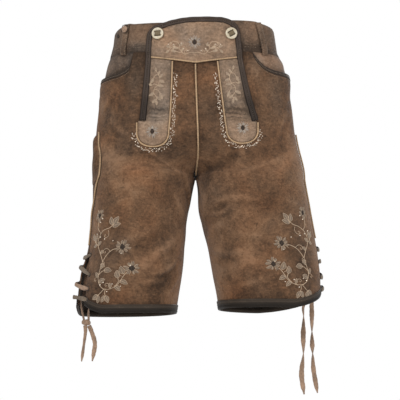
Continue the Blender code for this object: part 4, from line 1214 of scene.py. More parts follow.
def gathered(lines):
    """Points, edges and upward directions of several (points, directions) lines in one mesh."""
    edges, start = [], 0
    for points, _ in lines:
        edges += [(start + k, start + k + 1) for k in range(len(points) - 1)]
        start += len(points)
    return np.vstack([p for p, _ in lines]), edges, np.vstack([u for _, u in lines])


def laid(place, path, lift):
    """A path of (u, v) as points lift above the leather, with the directions out of it."""
    u, v = np.asarray(path, float).T
    low, high = place(u, v, lift), place(u, v, lift + 0.001)
    return low, unit(high - low)


def all_laid(place, paths, lift):
    return [laid(place, path, lift) for path in paths]


def add_threads(name, lines, material, radius, sides=6):
    points, edges, ups = gathered(lines)
    settings = {"Radius": radius, "Sides": sides, "Material": finish(material)}
    return run_tree(name, "thread", thread_tree, points, edges, ups, settings)


def add_stitches(name, lines, material, spacing, length, width, swing=0.0, wander=0.06, seed=3):
    points, edges, ups = gathered(lines)
    settings = {"Spacing": spacing, "Length": length, "Width": width, "Swing": swing}
    settings |= {"Wander": wander, "Seed": seed, "Material": finish(material)}
    return run_tree(name, "stitch", stitch_tree, points, edges, ups, settings)


def add_beads(name, points, material, size, variation=0.25, seed=5):
    settings = {"Size": size, "Variation": variation, "Seed": seed, "Material": finish(material)}
    return run_tree(name, "bead", bead_tree, points, [], np.zeros_like(points), settings)


# ---------------------------------------------------------------- leather pieces

CENTRE_COLUMNS, SIDE_COLUMNS, BACK_COLUMNS = 34, 62, 84
UPPER_ROWS, RISE_ROWS, LEG_ROWS = 44, 32, 96


def eased(count):
    """count + 1 shares from 0 to 1 that lie closer together near both ends."""
    t = spread(0.0, 1.0, count)
    return 0.45 * t + 0.55 * t * t * (3 - 2 * t)


def inseam_angle(side, z):
    return leg_share(z) * SEAM_GAP / 4 / arc_scale(side, z)


def slit_angle(side, z, beside):
    """The angle that lies beside the flap's slit at a height, or level with its end below it."""
    height = np.maximum(z, SLIT_END)
    return angle_at(side, side * (slit(side, height) + beside), height)


def inner_angles(side, z, share):
    """Angles on the front panel between the centre seam and the flap's slit."""
    start = inseam_angle(side, z)
    return start + (slit_angle(side, z, -EDGE_INSET) - start) * share


def outer_angles(side, z, share):
    """Angles on the front panel between the flap's slit and the side seam."""
    far, end = slit_angle(side, z, EDGE_INSET), off_seam(side, -vent_gap(side, z), z)
    return far + (end - far) * share


def back_angles(side, z, share):
    start = off_seam(side, vent_gap(side, z), z)
    return start + (math.pi - inseam_angle(side, z) - start) * share


def column_heights(top, bottom):
    """Rows of heights for columns that each have their own top and their own place on the hem."""
    upper = top + (SLIT_END - top) * spread(0, 1, UPPER_ROWS)[:, None]
    rise = SLIT_END + (CROTCH - SLIT_END) * spread(0, 1, RISE_ROWS)[1:, None] + 0 * top
    leg = CROTCH + (bottom - CROTCH) * spread(0, 1, LEG_ROWS)[1:, None]
    return np.vstack([upper, rise, leg])


def seam_dip(distance, depth=0.0008, reach=0.0022):
    """How far the outer face rolls in where a seam holds it."""
    return depth * bell(distance, reach)


def hem_shade(z, bottom):
    return -0.42 * np.exp(-np.maximum(0.0, z - bottom - HEM_BAND) / 0.012)


def panel_wall(side, angles, heights, lift, bottom):
    """A leg panel as a closed wall, rolled in at its seams and darker along them, with painted shade where it
    rolls in and above the hem strip.
    """
    scale = arc_scale(side, heights)
    ahead, behind = angles - angles[:, :1], angles[:, -1:] - angles
    dip = seam_dip(ahead * scale) + seam_dip(behind * scale)
    tone = nap_tone(side, angles, heights)
    # Painted shade above the hem strip and where the face rolls in at the seams; darker again towards the
    # seams.
    tone[..., 0] += hem_shade(heights, bottom) - 140 * dip
    tone[..., 0] -= 0.25 * np.exp(-behind * scale / 0.010) + 0.05 * np.exp(-ahead * scale / 0.008)
    inner = leather(side, angles, heights, lift)
    outer = leather(side, angles, heights, lift + LEATHER - dip)
    return inner, outer, tone


def front_parts(side):
    inner_shares, outer_shares = eased(CENTRE_COLUMNS), eased(SIDE_COLUMNS)
    at_top, at_hem = (
        (inner_angles(side, z, inner_shares), outer_angles(side, z, outer_shares)) for z in (-0.070, HEM_LEVEL)
    )
    centre_top = flap_seam(section(side, at_top[0], FLAP_SEAM[1])[..., 0]) - SEAM_GAP / 2
    top = np.concatenate([centre_top, mouth_height(side, at_top[1])])
    bottom = hem_height(side, np.concatenate(at_hem))
    heights = column_heights(top, bottom)
    split = CENTRE_COLUMNS + 1
    near, far = heights[:, :split], heights[:, split:]
    outer = outer_angles(side, far, outer_shares)
    angles = np.hstack([inner_angles(side, near, inner_shares), outer])
    lift = np.hstack([np.zeros_like(near), pocket_lift(side, outer, far)])
    return angles, heights, lift, top, bottom


def make_front(side):
    angles, heights, lift, top, bottom = front_parts(side)
    inner, outer, tone = panel_wall(side, angles, heights, lift, bottom)
    # Painted light: surfaces that turn away from the front are lightened against the shade they fall into, more
    # so lower on the legs.
    turned = smooth(-0.85, -0.15, outward(side, angles, heights)[..., 1])
    tone[..., 0] += (0.55 + 0.35 * (angles < 0.7)) * turned * smooth(-0.150, -0.280, heights) + 0.16 * turned
    # Painted shade beside the flap's binding down to the slit's end, and under the flap's cross seam and the
    # pocket's mouth.
    gap = np.abs(np.abs(outer[..., 0]) - slit(side, heights)) / 0.012
    tone[..., 0] -= 0.55 * np.exp(-(gap**2)) * smooth(SLIT_END - 0.012, SLIT_END, heights)
    below = top - heights
    tone[..., 0] -= 0.55 * bell(below, 0.009) + 0.22 * bell(below, 0.028)
    keep = np.ones((len(heights) - 1, heights.shape[1] - 1), bool)
    keep[:UPPER_ROWS, CENTRE_COLUMNS] = False
    return wall("suede_front_" + SIDES[side], inner, outer, "suede inner", keep, tone)


def make_back(side):
    share = eased(BACK_COLUMNS)
    bottom = hem_height(side, back_angles(side, HEM_LEVEL, share))
    heights = column_heights(MOUTH_TOP + 0 * share, bottom)
    angles = back_angles(side, heights, share)
    inner, outer, tone = panel_wall(side, angles, heights, 0.0, bottom)
    behind = (angles - angles[:, :1]) * arc_scale(side, heights)
    # Painted light on the inner face just behind the vent, which lies in shade inside the leg.
    inside = tone.copy()
    vent = VENTS[side][2]
    inside[..., 0] += 2.4 * bell(behind, 0.055) * smooth(vent + 0.02, vent - 0.02, heights)
    return wall("suede_back_" + SIDES[side], inner, outer, "suede inner", None, tone, inside)


def make_seat_turning():
    """The turnings behind the centre seam, from the seat under the crotch to the front."""
    line = []
    for angle, heights in ((math.pi, spread(-0.205, CROTCH, 40)), (0.0, spread(CROTCH, -0.235, 24)[1:])):
        line.append(np.mean([leather(side, angle, heights) for side in BOTH], axis=0))
    line = np.concatenate(line)
    run = unit(np.gradient(line, axis=0))
    out = unit(np.cross((1.0, 0.0, 0.0), run))
    across = np.array([-0.0042, -0.0026, -0.0012, 0.0, 0.0012, 0.0026, 0.0042])
    lift = 0.0011 * bell(across, 0.0022) - 0.0003
    across = across[:, None] * np.array([1.0, 0.0, 0.0])
    outer = line[:, None] + across + out[:, None] * lift[:, None]
    inner = line[:, None] + across - out[:, None] * 0.0011
    tone = np.zeros(outer.shape[:2] + (3,))
    tone[..., 0] = -0.45
    return wall("suede_seat_turning", inner, outer, "suede inner", None, tone)


def make_band(side, back):
    """One quarter of the waistband, with a rolled top edge, darker along it and over its lower part."""
    seam = SEAM_GAP / 2 if back else -SEAM_GAP / 2
    shares = eased(64)

    def angles_at(z):
        turn = off_seam(side, seam, z)
        return turn + (math.pi - turn) * shares if back else turn * shares

    top = top_edge(side, angles_at(0.0))
    heights = top + (-WAISTBAND - top) * eased(26)[:, None]
    angles = angles_at(heights)
    below = (top - heights) / (top + WAISTBAND)
    roll = 0.0011 * bell(below, 0.035) + 0.0006 * bell(1 - below, 0.03)
    ends = (angles - angles[:, :1]) * 0.15, (angles[:, -1:] - angles) * 0.15
    groove = 0.0007 * bell(below - 0.80, 0.018)
    dip = roll + groove + seam_dip(ends[0] if back else ends[1])
    pucker = 0.00035 * np.sin(angles * 90 + 3 * np.sin(angles * 13)) * below * (1 - below) * 4
    tone = nap_tone(side, angles, heights)
    x = np.abs(section(side, angles, heights)[..., 0])
    warm_patch = bell(x - 0.105, 0.024) * (not back) * smooth(0.85, 0.55, below)
    # darker over the lower part of the band and along its top edge
    soil = 0.50 * smooth(0.66, 0.86, below) + 0.34 * np.exp(-below / 0.10)
    tone[..., 0] += 0.02 + 0.34 * warm_patch - soil
    tone[..., 0] -= 0.35 * (side == LEFT) * smooth(0.128, 0.118, x) * smooth(0.35, 0.75, below)
    tone[..., 1] += 0.55 * warm_patch - 0.10
    inner = leather(side, angles, heights)
    outer = leather(side, angles, heights, BAND_WALL - dip + pucker)
    name = f"suede_band_{'back' if back else 'front'}_{SIDES[side]}"
    return wall(name, inner, outer, "band inner", None, tone)


def make_hip_piece(side):
    """The piece above the pocket's mouth, which runs on a little way behind the panel."""
    start = angle_at(side, side * (MOUTHS[side].keys[0] - 0.002), MOUTH_TOP)
    share = spread(0.0, 1.0, 34)
    top = start + (off_seam(side, -SEAM_GAP / 2, MOUTH_TOP) - start) * share
    low = mouth_height(side, top) - FACING_TUCK
    heights = MOUTH_TOP + (low - MOUTH_TOP) * spread(0, 1, 20)[:, None]
    angles = start + (off_seam(side, -SEAM_GAP / 2, heights) - start) * share
    tone = nap_tone(side, angles, heights)
    # Lighter overall on the left; painted shade in the pocket's mouth and under the waistband's seam.
    above = np.maximum(0.0, heights - low - FACING_TUCK)
    tone[..., 0] += (0.75 if side == LEFT else -0.10) - 0.75 * bell(above, 0.009)
    tone[..., 0] -= 0.45 * bell(MOUTH_TOP - heights, 0.006)
    tone[..., 1] += 0.6 if side == LEFT else -0.2
    inner, outer = (leather(side, angles, heights, lift) for lift in (0.0, TRIM))
    return wall("suede_hip_" + SIDES[side], inner, outer, "hip inner", None, tone)


def make_yoke():
    """The embroidered upper part of the flap, from its cross seam to its curved top."""
    t = spread(-1.0, 1.0, 96)
    share = 0.6 * np.sin(math.pi / 2 * t) + 0.4 * t
    far = np.where(share >= 0, slit(LEFT, -0.034), slit(RIGHT, -0.034))
    top_x = share * (far - EDGE_INSET)
    top_z = FLAP_TOP("z", top_x) - EDGE_INSET
    edge = np.where(share >= 0, slit(LEFT, FLAP_SEAM[1]), slit(RIGHT, FLAP_SEAM[1]))
    low_x = share * (edge - EDGE_INSET)
    low_z = flap_seam(low_x) + SEAM_GAP / 2
    down = spread(0.0, 1.0, 36)[:, None]
    x, z = top_x + (low_x - top_x) * down, top_z + (low_z - top_z) * down
    ripple = 0.0005 * bell(z + 0.030 + 0.10 * x, 0.006) * np.sin(x * 40 + 0.6)
    tone = front_tone(x, z)
    mottle = 0.16 * np.sin(x * 52 + 1.2) * np.cos(z * 70)
    tone[..., 0] = 0.10 + mottle - 0.30 * smooth(0.058, 0.076, np.abs(x))
    tone[..., 1] = 0.10 - 0.5 * smooth(-0.030, -0.062, z) * smooth(0.03, 0.07, np.abs(x))
    inner, outer = (on_front(x, z, flap_lift(z) + lift) for lift in (0 * x, LEATHER + ripple))
    return wall("suede_yoke", inner, outer, "pale inner", None, tone)


def binding_path():
    """The middle line of the flap's binding as (x, z), from right to left."""
    rise = spread(BINDING_END, FLAP_TOP("z", -0.0832), 46)[:-1]
    top = smooth_route(stacked(FLAP_TOP.keys, FLAP_TOP.columns["z"]), 5)
    right = stacked(-slit(RIGHT, rise), rise)
    left = stacked(slit(LEFT, rise), rise)[::-1]
    return np.vstack([right, top, left])


def ridged_profile():
    """Two rounded cords side by side under one dark cover."""
    share = np.linspace(-1.0, 1.0, 23)
    bulge = np.sqrt(np.maximum(0.0, 1 - ((np.abs(share) - 0.5) / 0.47) ** 2))
    top = list(zip(share, 0.0004 + 0.0012 * bulge))
    return top + [(1.0, 0.0), (0.5, 0.0), (0.0, 0.0), (-0.5, 0.0), (-1.0, 0.0)]


def make_flap_binding():
    path = binding_path()
    z = path[:, 1]
    base = flap_lift(z) + LEATHER + LAY_GAP
    wave = 1 + 0.03 * np.sin(np.arange(len(z)) * 0.9)
    profile = ridged_profile()
    rings = strip_rings(on_front, path, binding_width(z) / 2 * wave, profile, base)
    # Painted shade in the groove between the two cords and at their edges; darker again towards the lower end.
    share = np.abs([s for s, _ in profile])
    sunk = 0.95 * bell(share, 0.15) + 1.25 * smooth(0.66, 0.96, share)
    tone = np.zeros(rings.shape)
    tone[..., 0] = sunk * (0.8 + 0.2 * np.sin(np.arange(len(z)) * 0.7))[:, None]
    tone[..., 0] += 0.55 * smooth(-0.120, -0.155, z)[:, None]
    return loft("flap_edge", rings, "binding", tone)


def tongue_middle(side):
    """The middle and half width of the tongue's round end."""
    outer, turn, _ = TONGUES[side]
    inner = pipe_line(side, turn)
    return (inner + outer) / 2, (outer - inner) / 2


def tongue_rows(side):
    """Rows of (height, inner x, outer x, slant) down the tongue."""
    outer, turn, drop = TONGUES[side]
    clear = PIPE_R + LAY_GAP

    def inner_x(z):
        return pipe_line(side, z) + clear

    def lean(z):
        return (slit(side, z - 0.002) - slit(side, z + 0.002)) / 0.004

    def binding_x(z):
        return slit(side, z) - binding_width(z) / 2 * np.hypot(1, lean(z)) - SEAM_GAP - 0.0004

    start = flap_seam(pipe_line(side, -0.07)) - clear
    rows = [(start + (-0.1495 - start) * t, 1 - t) for t in spread(0.0, 1.0, 26)]
    shoulder = BINDING_END - BINDING[1] / 2 * lean(BINDING_END) - SEAM_GAP
    rows += [(z, 0.0) for z in spread(-0.1505, shoulder, 24)]
    found = [(z, inner_x(z), binding_x(z), slant) for z, slant in rows]
    for z in spread(shoulder - SEAM_GAP, turn, 7):
        found.append((z, inner_x(z), outer - clear, 0.0))
    centre, half = tongue_middle(side)
    for arc in np.radians([6, 13, 20, 27, 34, 41, 48, 55, 62, 69, 75, 81, 86]):
        reach = (half - clear) * powered(np.cos(arc), TONGUE_POWER)
        z = turn - (drop - clear) * powered(np.sin(arc), TONGUE_POWER)
        found.append((z, centre - reach, centre + reach, 0.0))
    return found


def make_tongue(side):
    """The pale patch beside the flap's slit, with cross tucks and a round lower end."""
    xs, zs, edges = [], [], []
    share = eased(22)
    for z, x_in, x_out, slant in tongue_rows(side):
        x = x_in + (x_out - x_in) * share
        xs.append(x)
        zs.append(z + slant * (flap_seam(x) - flap_seam(x_in)))
        edges.append(np.minimum(x - x_in, x_out - x))
    x, z, edge = np.array(xs), np.array(zs), np.array(edges)
    wave = 0.0016 * np.sin((x - xs[0][0]) * 150 + side)
    base = LEATHER + LAY_GAP + tuck_lift(z + wave * (np.abs(z + 0.160) < 0.03))
    roll = 0.0006 * bell(edge, 0.0012)
    # Painted shade along the wrinkle across the tongue and beside the binding; thin dark lines where the tucks
    # are sewn; darker towards its edges and lower down, lighter at its round end.
    tone = front_tone(side * x, z)
    span = smooth(0.002, 0.012, edge)
    ragged = z + 0.1600 + wave + 0.0012 * np.sin(x * 620 + side) + 0.0009 * np.sin(x * 1310)
    tone[..., 0] = 0.06 - 0.85 * span * bell(ragged, 0.0019)
    tone[..., 0] -= 0.20 * bell(z + 0.1600, 0.010)
    tone[..., 0] -= 0.14 * smooth(-0.085, -0.145, z) * (z > -0.17)
    tone[..., 0] += -0.22 * smooth(0.009, 0.0, edge) + 0.12 * (z < -0.182)
    binding_shade = smooth(0.013, 0.0, x[:, -1:] - x) * smooth(-0.100, -0.150, z)
    tone[..., 0] -= 0.42 * binding_shade * (z > -0.174)
    for level in (-0.1688, -0.1755, -0.1800):
        tone[..., 0] -= 0.45 * span * bell(z + wave * 0.6 - level, 0.0011)
    tone[..., 1] = -0.10 + 0.35 * smooth(-0.175, -0.195, z)
    inner, outer = (on_front(side * x, z, lift) for lift in (base, base + TRIM - roll))
    return wall("suede_tongue_" + SIDES[side], inner, outer, "tongue", None, tone)


KNIFE_END, KNIFE_BULGE = -0.2880, 0.0052
KNIFE_REACH = (0.004, 0.044)  # behind the side seam, and across


def knife_top(share):
    return -0.1940 - 0.024 * share


def make_knife_pocket():
    """A narrow pocket behind the right side seam. Its slanting upper edge stands open."""
    across, down = eased(34), spread(0.0, 1.0, 40)[:, None]
    arch = np.sin(math.pi * across)
    top, end = knife_top(across), KNIFE_END + 0.008 * (1 - arch)
    heights = top + (end - top) * down
    bulge = KNIFE_BULGE * arch**0.7 * (1 - smooth(0.45, 1.0, down))
    angles = off_seam(RIGHT, KNIFE_REACH[0] + KNIFE_REACH[1] * across, heights)
    lift = LEATHER + LAY_GAP + bulge
    edge = np.minimum(np.minimum(across, 1 - across) * KNIFE_REACH[1], heights - end)
    tone = nap_tone(RIGHT, angles, heights)
    # Painted shade along the pocket's open upper edge.
    tone[..., 0] += -0.15 - 0.35 * np.exp(-np.maximum(0.0, (top - heights)) / 0.006)
    inner = leather(RIGHT, angles, heights, lift)
    outer = leather(RIGHT, angles, heights, lift + TRIM - 0.0006 * bell(edge, 0.0014))
    return wall("suede_knife_pocket", inner, outer, "suede inner", None, tone)


def folded_profile(reach, inside, wall_up, over=0.0):
    """A strip folded over an edge: (lift, height above the edge) round its section."""
    out, back = LEATHER + LAY_GAP, -LAY_GAP
    ridges = [(0.0006 + 0.0005 * abs(math.sin(k * math.pi / 4)), k / 12) for k in range(13)]
    outer = [(out + wall_up * 0.45 + rise, reach * (1 - t)) for rise, t in ridges]
    fold = [(out + wall_up * 0.7, -LAY_GAP - TRIM * 0.7), ((out + back) / 2, -LAY_GAP - TRIM)]
    fold += [(back - wall_up * 0.7, -LAY_GAP - TRIM * 0.7)]
    return outer + fold + [
        (back - TRIM, inside * 0.3),
        (back - TRIM, inside),
        (back, inside),
        (back, -LAY_GAP),
        (out, -LAY_GAP),
        (out, reach),
    ]


def make_hem(side):
    """A dark ridged strip folded round the hem, from one edge of the side vent to the other."""
    profile = np.array(folded_profile(HEM_BAND, HEM_BAND * 0.6, TRIM))
    rings = []
    for angles_at, shares in (
        (outer_angles, eased(60)[::-1]),
        (inner_angles, eased(34)[::-1]),
        (back_angles, eased(84)[::-1]),
    ):
        bottom = hem_height(side, angles_at(side, HEM_LEVEL, shares))
        z = bottom[:, None] + profile[None, :, 1]
        rings.append(leather(side, angles_at(side, z, shares[:, None]), z, profile[:, 0]))
    rings = np.vstack(rings)
    # Painted shade in the strip's grooves and on its turned-under side; darker towards its lower edge.
    up = np.clip(profile[:, 1] / HEM_BAND, 0.0, 1.0)
    grooves = bell((up * 3) % 1.0 - 0.5, 0.16)
    sunk = 0.92 * smooth(0.62, 0.30, up) + 0.45 * grooves
    tone = np.zeros(rings.shape)
    tone[..., 0] = np.where(profile[:, 0] > LEATHER, sunk, 0.45)
    return loft("hem_trim_" + SIDES[side], rings, "hem", tone)


def make_mouth_edge(side):
    """The dark strip folded over the edge of the hip pocket's mouth."""
    start = angle_at(side, side * (MOUTHS[side].keys[0] + 0.0005), MOUTH_TOP)
    share = spread(0.0, 1.0, 60)
    level = MOUTH_TOP
    for _ in range(3):  # the mouth ends on the side seam, whose angle depends on the height
        level = mouth_height(side, off_seam(side, -SEAM_GAP, level))
    angles = start + (off_seam(side, -SEAM_GAP, level) - start) * share
    mouth = mouth_height(side, angles)
    section_of = [
        (LEATHER + 0.0001, -0.0068),
        (LEATHER + 0.0007, -0.0064),
        (LEATHER + 0.0009, -0.0048),
        (LEATHER + 0.0006, -0.0034),
        (LEATHER + 0.0010, -0.0018),
        (LEATHER + 0.0008, 0.0002),
        (LEATHER * 0.5, 0.0009),
        (-0.0006, 0.0002),
        (-0.0006, -0.0036),
        (-0.0001, -0.0036),
        (-0.0001, 0.0001),
        (LEATHER + 0.0001, 0.0001),
    ]
    profile = np.array(section_of)
    z = np.minimum(mouth[:, None] + profile[None, :, 1], MOUTH_TOP + 0.0006)
    lift = pocket_lift(side, angles, mouth)[:, None] + profile[None, :, 0]
    lower = pocket_lift(side, angles[:, None], z) + profile[None, :, 0]
    lift = np.where(profile[None, :, 1] < -0.0001, lower, lift)
    rings = leather(side, angles[:, None] + 0 * z, z, lift)
    return loft("mouth_edge_" + SIDES[side], rings, "edge")


def make_vent_facing(side):
    """A strip of leather that lines the side vent behind its laces."""
    top, half = VENTS[side][2], 0.007
    heights = spread(top - 0.004, hem_height(side, seam_angle(side, HEM_LEVEL)) + 0.012, 40)[:, None]
    reach = (vent_gap(side, heights) + half) * spread(-1.0, 1.0, 20)
    angles = off_seam(side, reach, heights)
    lift = -LAY_GAP - 0.0008 - 0.0022 * bell(reach, 0.009) - vent_curl(side, angles, heights)
    tone = nap_tone(side, angles, heights)
    tone[..., 0] += -0.25 + 0.35 * np.sin(heights * 210) + 0.25 * np.sin(reach * 420 + heights * 160)
    inner, outer = (leather(side, angles, heights, lift + h) for h in (-TRIM, 0.0))
    return wall("vent_facing_" + SIDES[side], inner, outer, "suede inner", None, tone)


# ---------------------------------------------------------------- piping


def pipe(name, points, node, radius=PIPE_R):
    rings = tube_rings(smooth_route(points, 3), radius, 10, (0.02, -1.0, 0.01))
    return placed(loft(name, rings, "piping"), "piping", node)


def pipe_lift():
    return LEATHER + LAY_GAP + PIPE_R


def tongue_outline(side, out=0.0, start_drop=0.0):
    """The line of the tongue's piping as (x, z), or a line out from it."""
    outer, turn, drop = TONGUES[side]
    start = flap_seam(pipe_line(side, -0.07)) - 2 * PIPE_R - LAY_GAP - start_drop
    line = [(pipe_line(side, z) - out, z) for z in spread(start, turn, 24)]
    centre, half = tongue_middle(side)
    for arc in np.radians(np.arange(8, 180, 8)):
        x = centre - (half + out) * powered(np.cos(arc), TONGUE_POWER)
        line.append((x, turn - (drop + out) * powered(np.sin(arc), TONGUE_POWER)))
    line += [(outer + out, turn), (outer + out, -0.1900), (outer + out, -0.1825)]
    return np.array(line) * [side, 1]


def make_pipings():
    for side in BOTH:
        line = tongue_outline(side)
        points = on_front(line[:, 0], line[:, 1], pipe_lift())
        pipe("piping_tongue_" + SIDES[side], points, "tongue_piping_" + SIDES[side])
        z = spread(-0.192, VENTS[side][2] + 0.004, 44)
        points = beside_seam(side)(0.0, z, pipe_lift())
        pipe("piping_side_" + SIDES[side], points, "side_piping_" + SIDES[side])
    z = FLAP_SEAM[1]
    ends = [side * (slit(side, z) - binding_width(z) / 2 - LAY_GAP) for side in BOTH]
    x = spread(*ends, 40)
    z = flap_seam(x)
    pipe("piping_cross", on_front(x, z, flap_lift(z) + pipe_lift() + 0.0002), "flap_seam_piping")
    z = spread(FLAP_SEAM[0] - 2 * PIPE_R - LAY_GAP, -0.262, 44)
    lift = pipe_lift() + 0.010 * leg_share(z)
    both = [leather(side, 0.0, z, lift) for side in BOTH]
    points = (both[0] + both[1]) / 2
    points[:, 0] = CENTRE_SEAM("shift", z)
    pipe("piping_centre", points, "centre_piping")


# ---------------------------------------------------------------- laces

THONG = 0.0076
THONG_WALL = 0.0018
BAR_SLANTS = {RIGHT: (-0.0020, 0.0088, 0.0062, 0.0030), LEFT: (0.0040, 0.0020, 0.0050, 0.0040)}
BAR_ARCH = 0.0034
EYELET_INSET = 0.009
BARS = {  # height, knob, lying on the hem's strip
    RIGHT: [(-0.4215, 0.0012, 0), (-0.4480, 0.0026, 0), (-0.4760, 0.0050, 0), (-0.4995, 0.0050, 1)],
    LEFT: [(-0.4030, 0.0004, 0), (-0.4280, 0.0008, 0), (-0.4530, 0.0008, 0), (-0.4775, 0.0006, 1)],
}
# The free ends: x, y, z and the flat side's turn from the front in degrees.
TAILS = {
    "left_a": rows_of("x y z turn*", """
225.8 -4.5 -483 82
221 -6.5 -490.5 80
208.5 -6 -500 70
199.4 -2 -511.8 62
199.8 0 -530.6 90
198.9 0 -565.6 180
198.9 0 -599.3 270
195.4 0 -636.1 360
200 0 -672.9 400
"""),
    "left_b": rows_of("x y z turn*", """
225.8 20.5 -483.5 104
222.6 16.5 -493 84
216 10.5 -504 40
215.5 8 -521.3 0
215.5 8 -558.2 90
215.7 8 -576.7 160
216.6 8 -598.8 270
218 8 -627.5 345
225 8 -670.1 378
"""),
    "right_a": rows_of("x y z turn*", """
-201.6 -37.4 -547.9 20
-201 -37.6 -560 35
-204 -37.4 -585 60
-207.8 -37.2 -613.5 20
"""),
    "right_b": rows_of("x y z turn*", """
-194.8 -33.4 -547.8 -20
-189.6 -33.6 -560 -5
-183.8 -34 -580.2 10
-186.2 -34 -600 20
-188.5 -34 -613 30
"""),
}
TAIL_WIDTHS = {"left_a": 0.0094, "left_b": 0.0086, "right_a": 0.0072, "right_b": 0.0080}
RUNS = {
    "right_a": rows_of("x y z turn*", """
-210.8 -29 -500 86
-208.8 -31.2 -515 55
-203.5 -35.2 -540 0
"""),
    "right_b": rows_of("x y z turn*", """
-190.8 -63 -497.5 126
-194.5 -50 -515 100
-195.5 -35 -540 0
"""),
}
RUN_WIDTH = 0.0042
KNOT_CENTRE = np.array((-0.2000, -0.0350, -0.5424))

BUTTON_R = 0.0108
BUTTON_WALL = 0.0034
BUTTON_PLACES = {RIGHT: (-0.0676, -0.0219), LEFT: (0.0642, -0.0218)}
BUTTON_TURN = {RIGHT: 2.0, LEFT: 30.0}
BELT_LOOP = 0.0098
FRONT_LOOPS = {RIGHT: (-0.1235, -0.1305), LEFT: (0.1130, 0.1258)}
LOOP_DROP = 0.0042
HOLE_X, HOLE_HEIGHT = -0.1412, -0.0165


def thong_rings(table, width, pointed):
    """Rings and centre points of a flat strip that turns about its length as its rows say."""
    rows = np.array(table) * [1, 1, 1, math.pi / 180]
    route = smooth_route(rows, 14)
    points, turn = route[:, :3], route[:, 3]
    run = unit(np.gradient(points, axis=0))
    across = stacked(np.cos(turn), np.sin(turn), 0 * turn)
    across = unit(across - run * (run * across).sum(-1, keepdims=True))
    through = np.cross(run, across)
    length = distances(points)
    left_over = length[-1] - length
    half = width / 2 * (1 + 0.05 * np.sin(length * 310) + 0.04 * np.sin(length * 790 + 1))
    if pointed:
        half = half * (0.22 + 0.78 * smooth(-0.001, 0.014, left_over))
    section_of = [(-1, -0.3), (-0.86, -1), (0, -0.86), (0.86, -1), (1, -0.3)]
    section_of += [(1, 0.3), (0.86, 1), (0, 0.86), (-0.86, 1), (-1, 0.3)]
    shares = np.array(section_of)
    rings = points[:, None] + across[:, None] * (shares[None, :, :1] * half[:, None, None])
    return rings + through[:, None] * shares[None, :, 1:] * THONG_WALL / 2, points


def make_tails():
    for name, table in TAILS.items():
        rings, points = thong_rings(table, TAIL_WIDTHS[name], True)
        tail = placed(loft("tail_" + name, rings, "thong"), "thong", "lace_tail_" + name)


def wrap_rings(centre, axis, radius, start, turns, width, wall_up, climb=0.0):
    """A strip wound round a centre, flat side in."""
    turn = np.radians(start) + spread(0.0, turns * 2 * math.pi, int(26 * turns))
    axis = unit(np.array(axis, float))
    first = unit(np.cross(axis, (0.3, 0.2, 1.0)))
    second = np.cross(axis, first)
    out = np.cos(turn)[:, None] * first + np.sin(turn)[:, None] * second
    swell = 1 + 0.06 * np.sin(turn * 2 + 0.5)
    rise = climb * spread(-0.5, 0.5, len(turn) - 1)
    points = centre + out * (radius * swell)[:, None] + axis * rise[:, None]
    shares = np.array([(-1, 0), (-0.8, 0.8), (0, 1), (0.8, 0.8), (1, 0), (0.7, -0.6), (-0.7, -0.6)])
    rings = points[:, None] + axis * shares[None, :, :1] * width / 2
    return rings + out[:, None] * shares[None, :, 1:] * wall_up / 2


def make_bars():
    """The crossings of the thong over each side vent, and dark rings of painted shade for the holes that they
    go down into.
    """
    holes = []
    for side in BOTH:
        place = beside_seam(side)
        for number, (z, knob, on_binding) in enumerate(BARS[side], 1):
            reach = vent_gap(side, z) + EYELET_INSET
            base = LEATHER + LAY_GAP + (TRIM + LAY_GAP if on_binding else 0.0)
            share = spread(-1.0, 1.0, 30)
            lift = base + BAR_ARCH * (1 - share**2) + knob * bell(share - 0.6, 0.3)
            lift = lift - 0.0016 * smooth(0.88, 1.0, np.abs(share))
            slant = BAR_SLANTS[side][number - 1]
            bow = 0.0026 * (share**2 - 1) * (1 if number % 2 else -0.4)
            path = stacked(reach * share, z + slant * share + bow)
            taper = 1 + 0.12 * np.sin(share * 4 + number) - 0.30 * smooth(0.6, 1.0, np.abs(share))
            rings = strip_rings(place, path, THONG / 2 * taper, round_profile(THONG_WALL, 9, 0.0004), lift)
            name = f"{SIDES[side]}_{number}"
            cover = "thong" if (side, number) == (RIGHT, 3) else "lace"
            placed(loft("lace_" + name, rings, cover), "thong", "lace_bar_" + name)
            # Dark thread rings at each end of a bar, painted shade for the holes.
            for end in (-1, 1):
                turn = np.radians(np.arange(0, 391, 30))
                spot = stacked(reach * end + 0.0030 * np.cos(turn), z + slant * end + 0.0034 * np.sin(turn))
                holes.append(laid(place, spot, base + 0.0002))
    placed(add_threads("lace_holes", holes, "shadow", 0.0006), "dark_leather")


def make_laces():
    for name, table in RUNS.items():
        rings, _ = thong_rings(table, RUN_WIDTH, False)
        placed(loft("run_" + name, rings, "thong"), "thong", "lace_run_" + name)
    turn = spread(0.0, math.pi, 16)[1:-1]
    core = KNOT_CENTRE + stacked(np.cos(turn) * -0.0084, 0 * turn, np.cos(turn) * 0.0012)
    swell = 0.0052 * np.sin(turn) ** 0.8 * (1 + 0.10 * np.sin(turn * 3.0))
    parts = [tube_rings(core, swell, 16)]
    parts.append(wrap_rings(KNOT_CENTRE, (1.0, 0.15, 0.20), 0.0052, 20, 1.12, 0.0060, 0.0018, 0.0024))
    parts.append(wrap_rings(KNOT_CENTRE, (0.80, 0.1, -0.62), 0.0056, 200, 1.0, 0.0050, 0.0016, -0.0012))
    pieces = [loft(f"knot_part_{k}", rings, "thong") for k, rings in enumerate(parts)]
    placed(joined("lace_knot", pieces), "thong", "lace_knot_right")


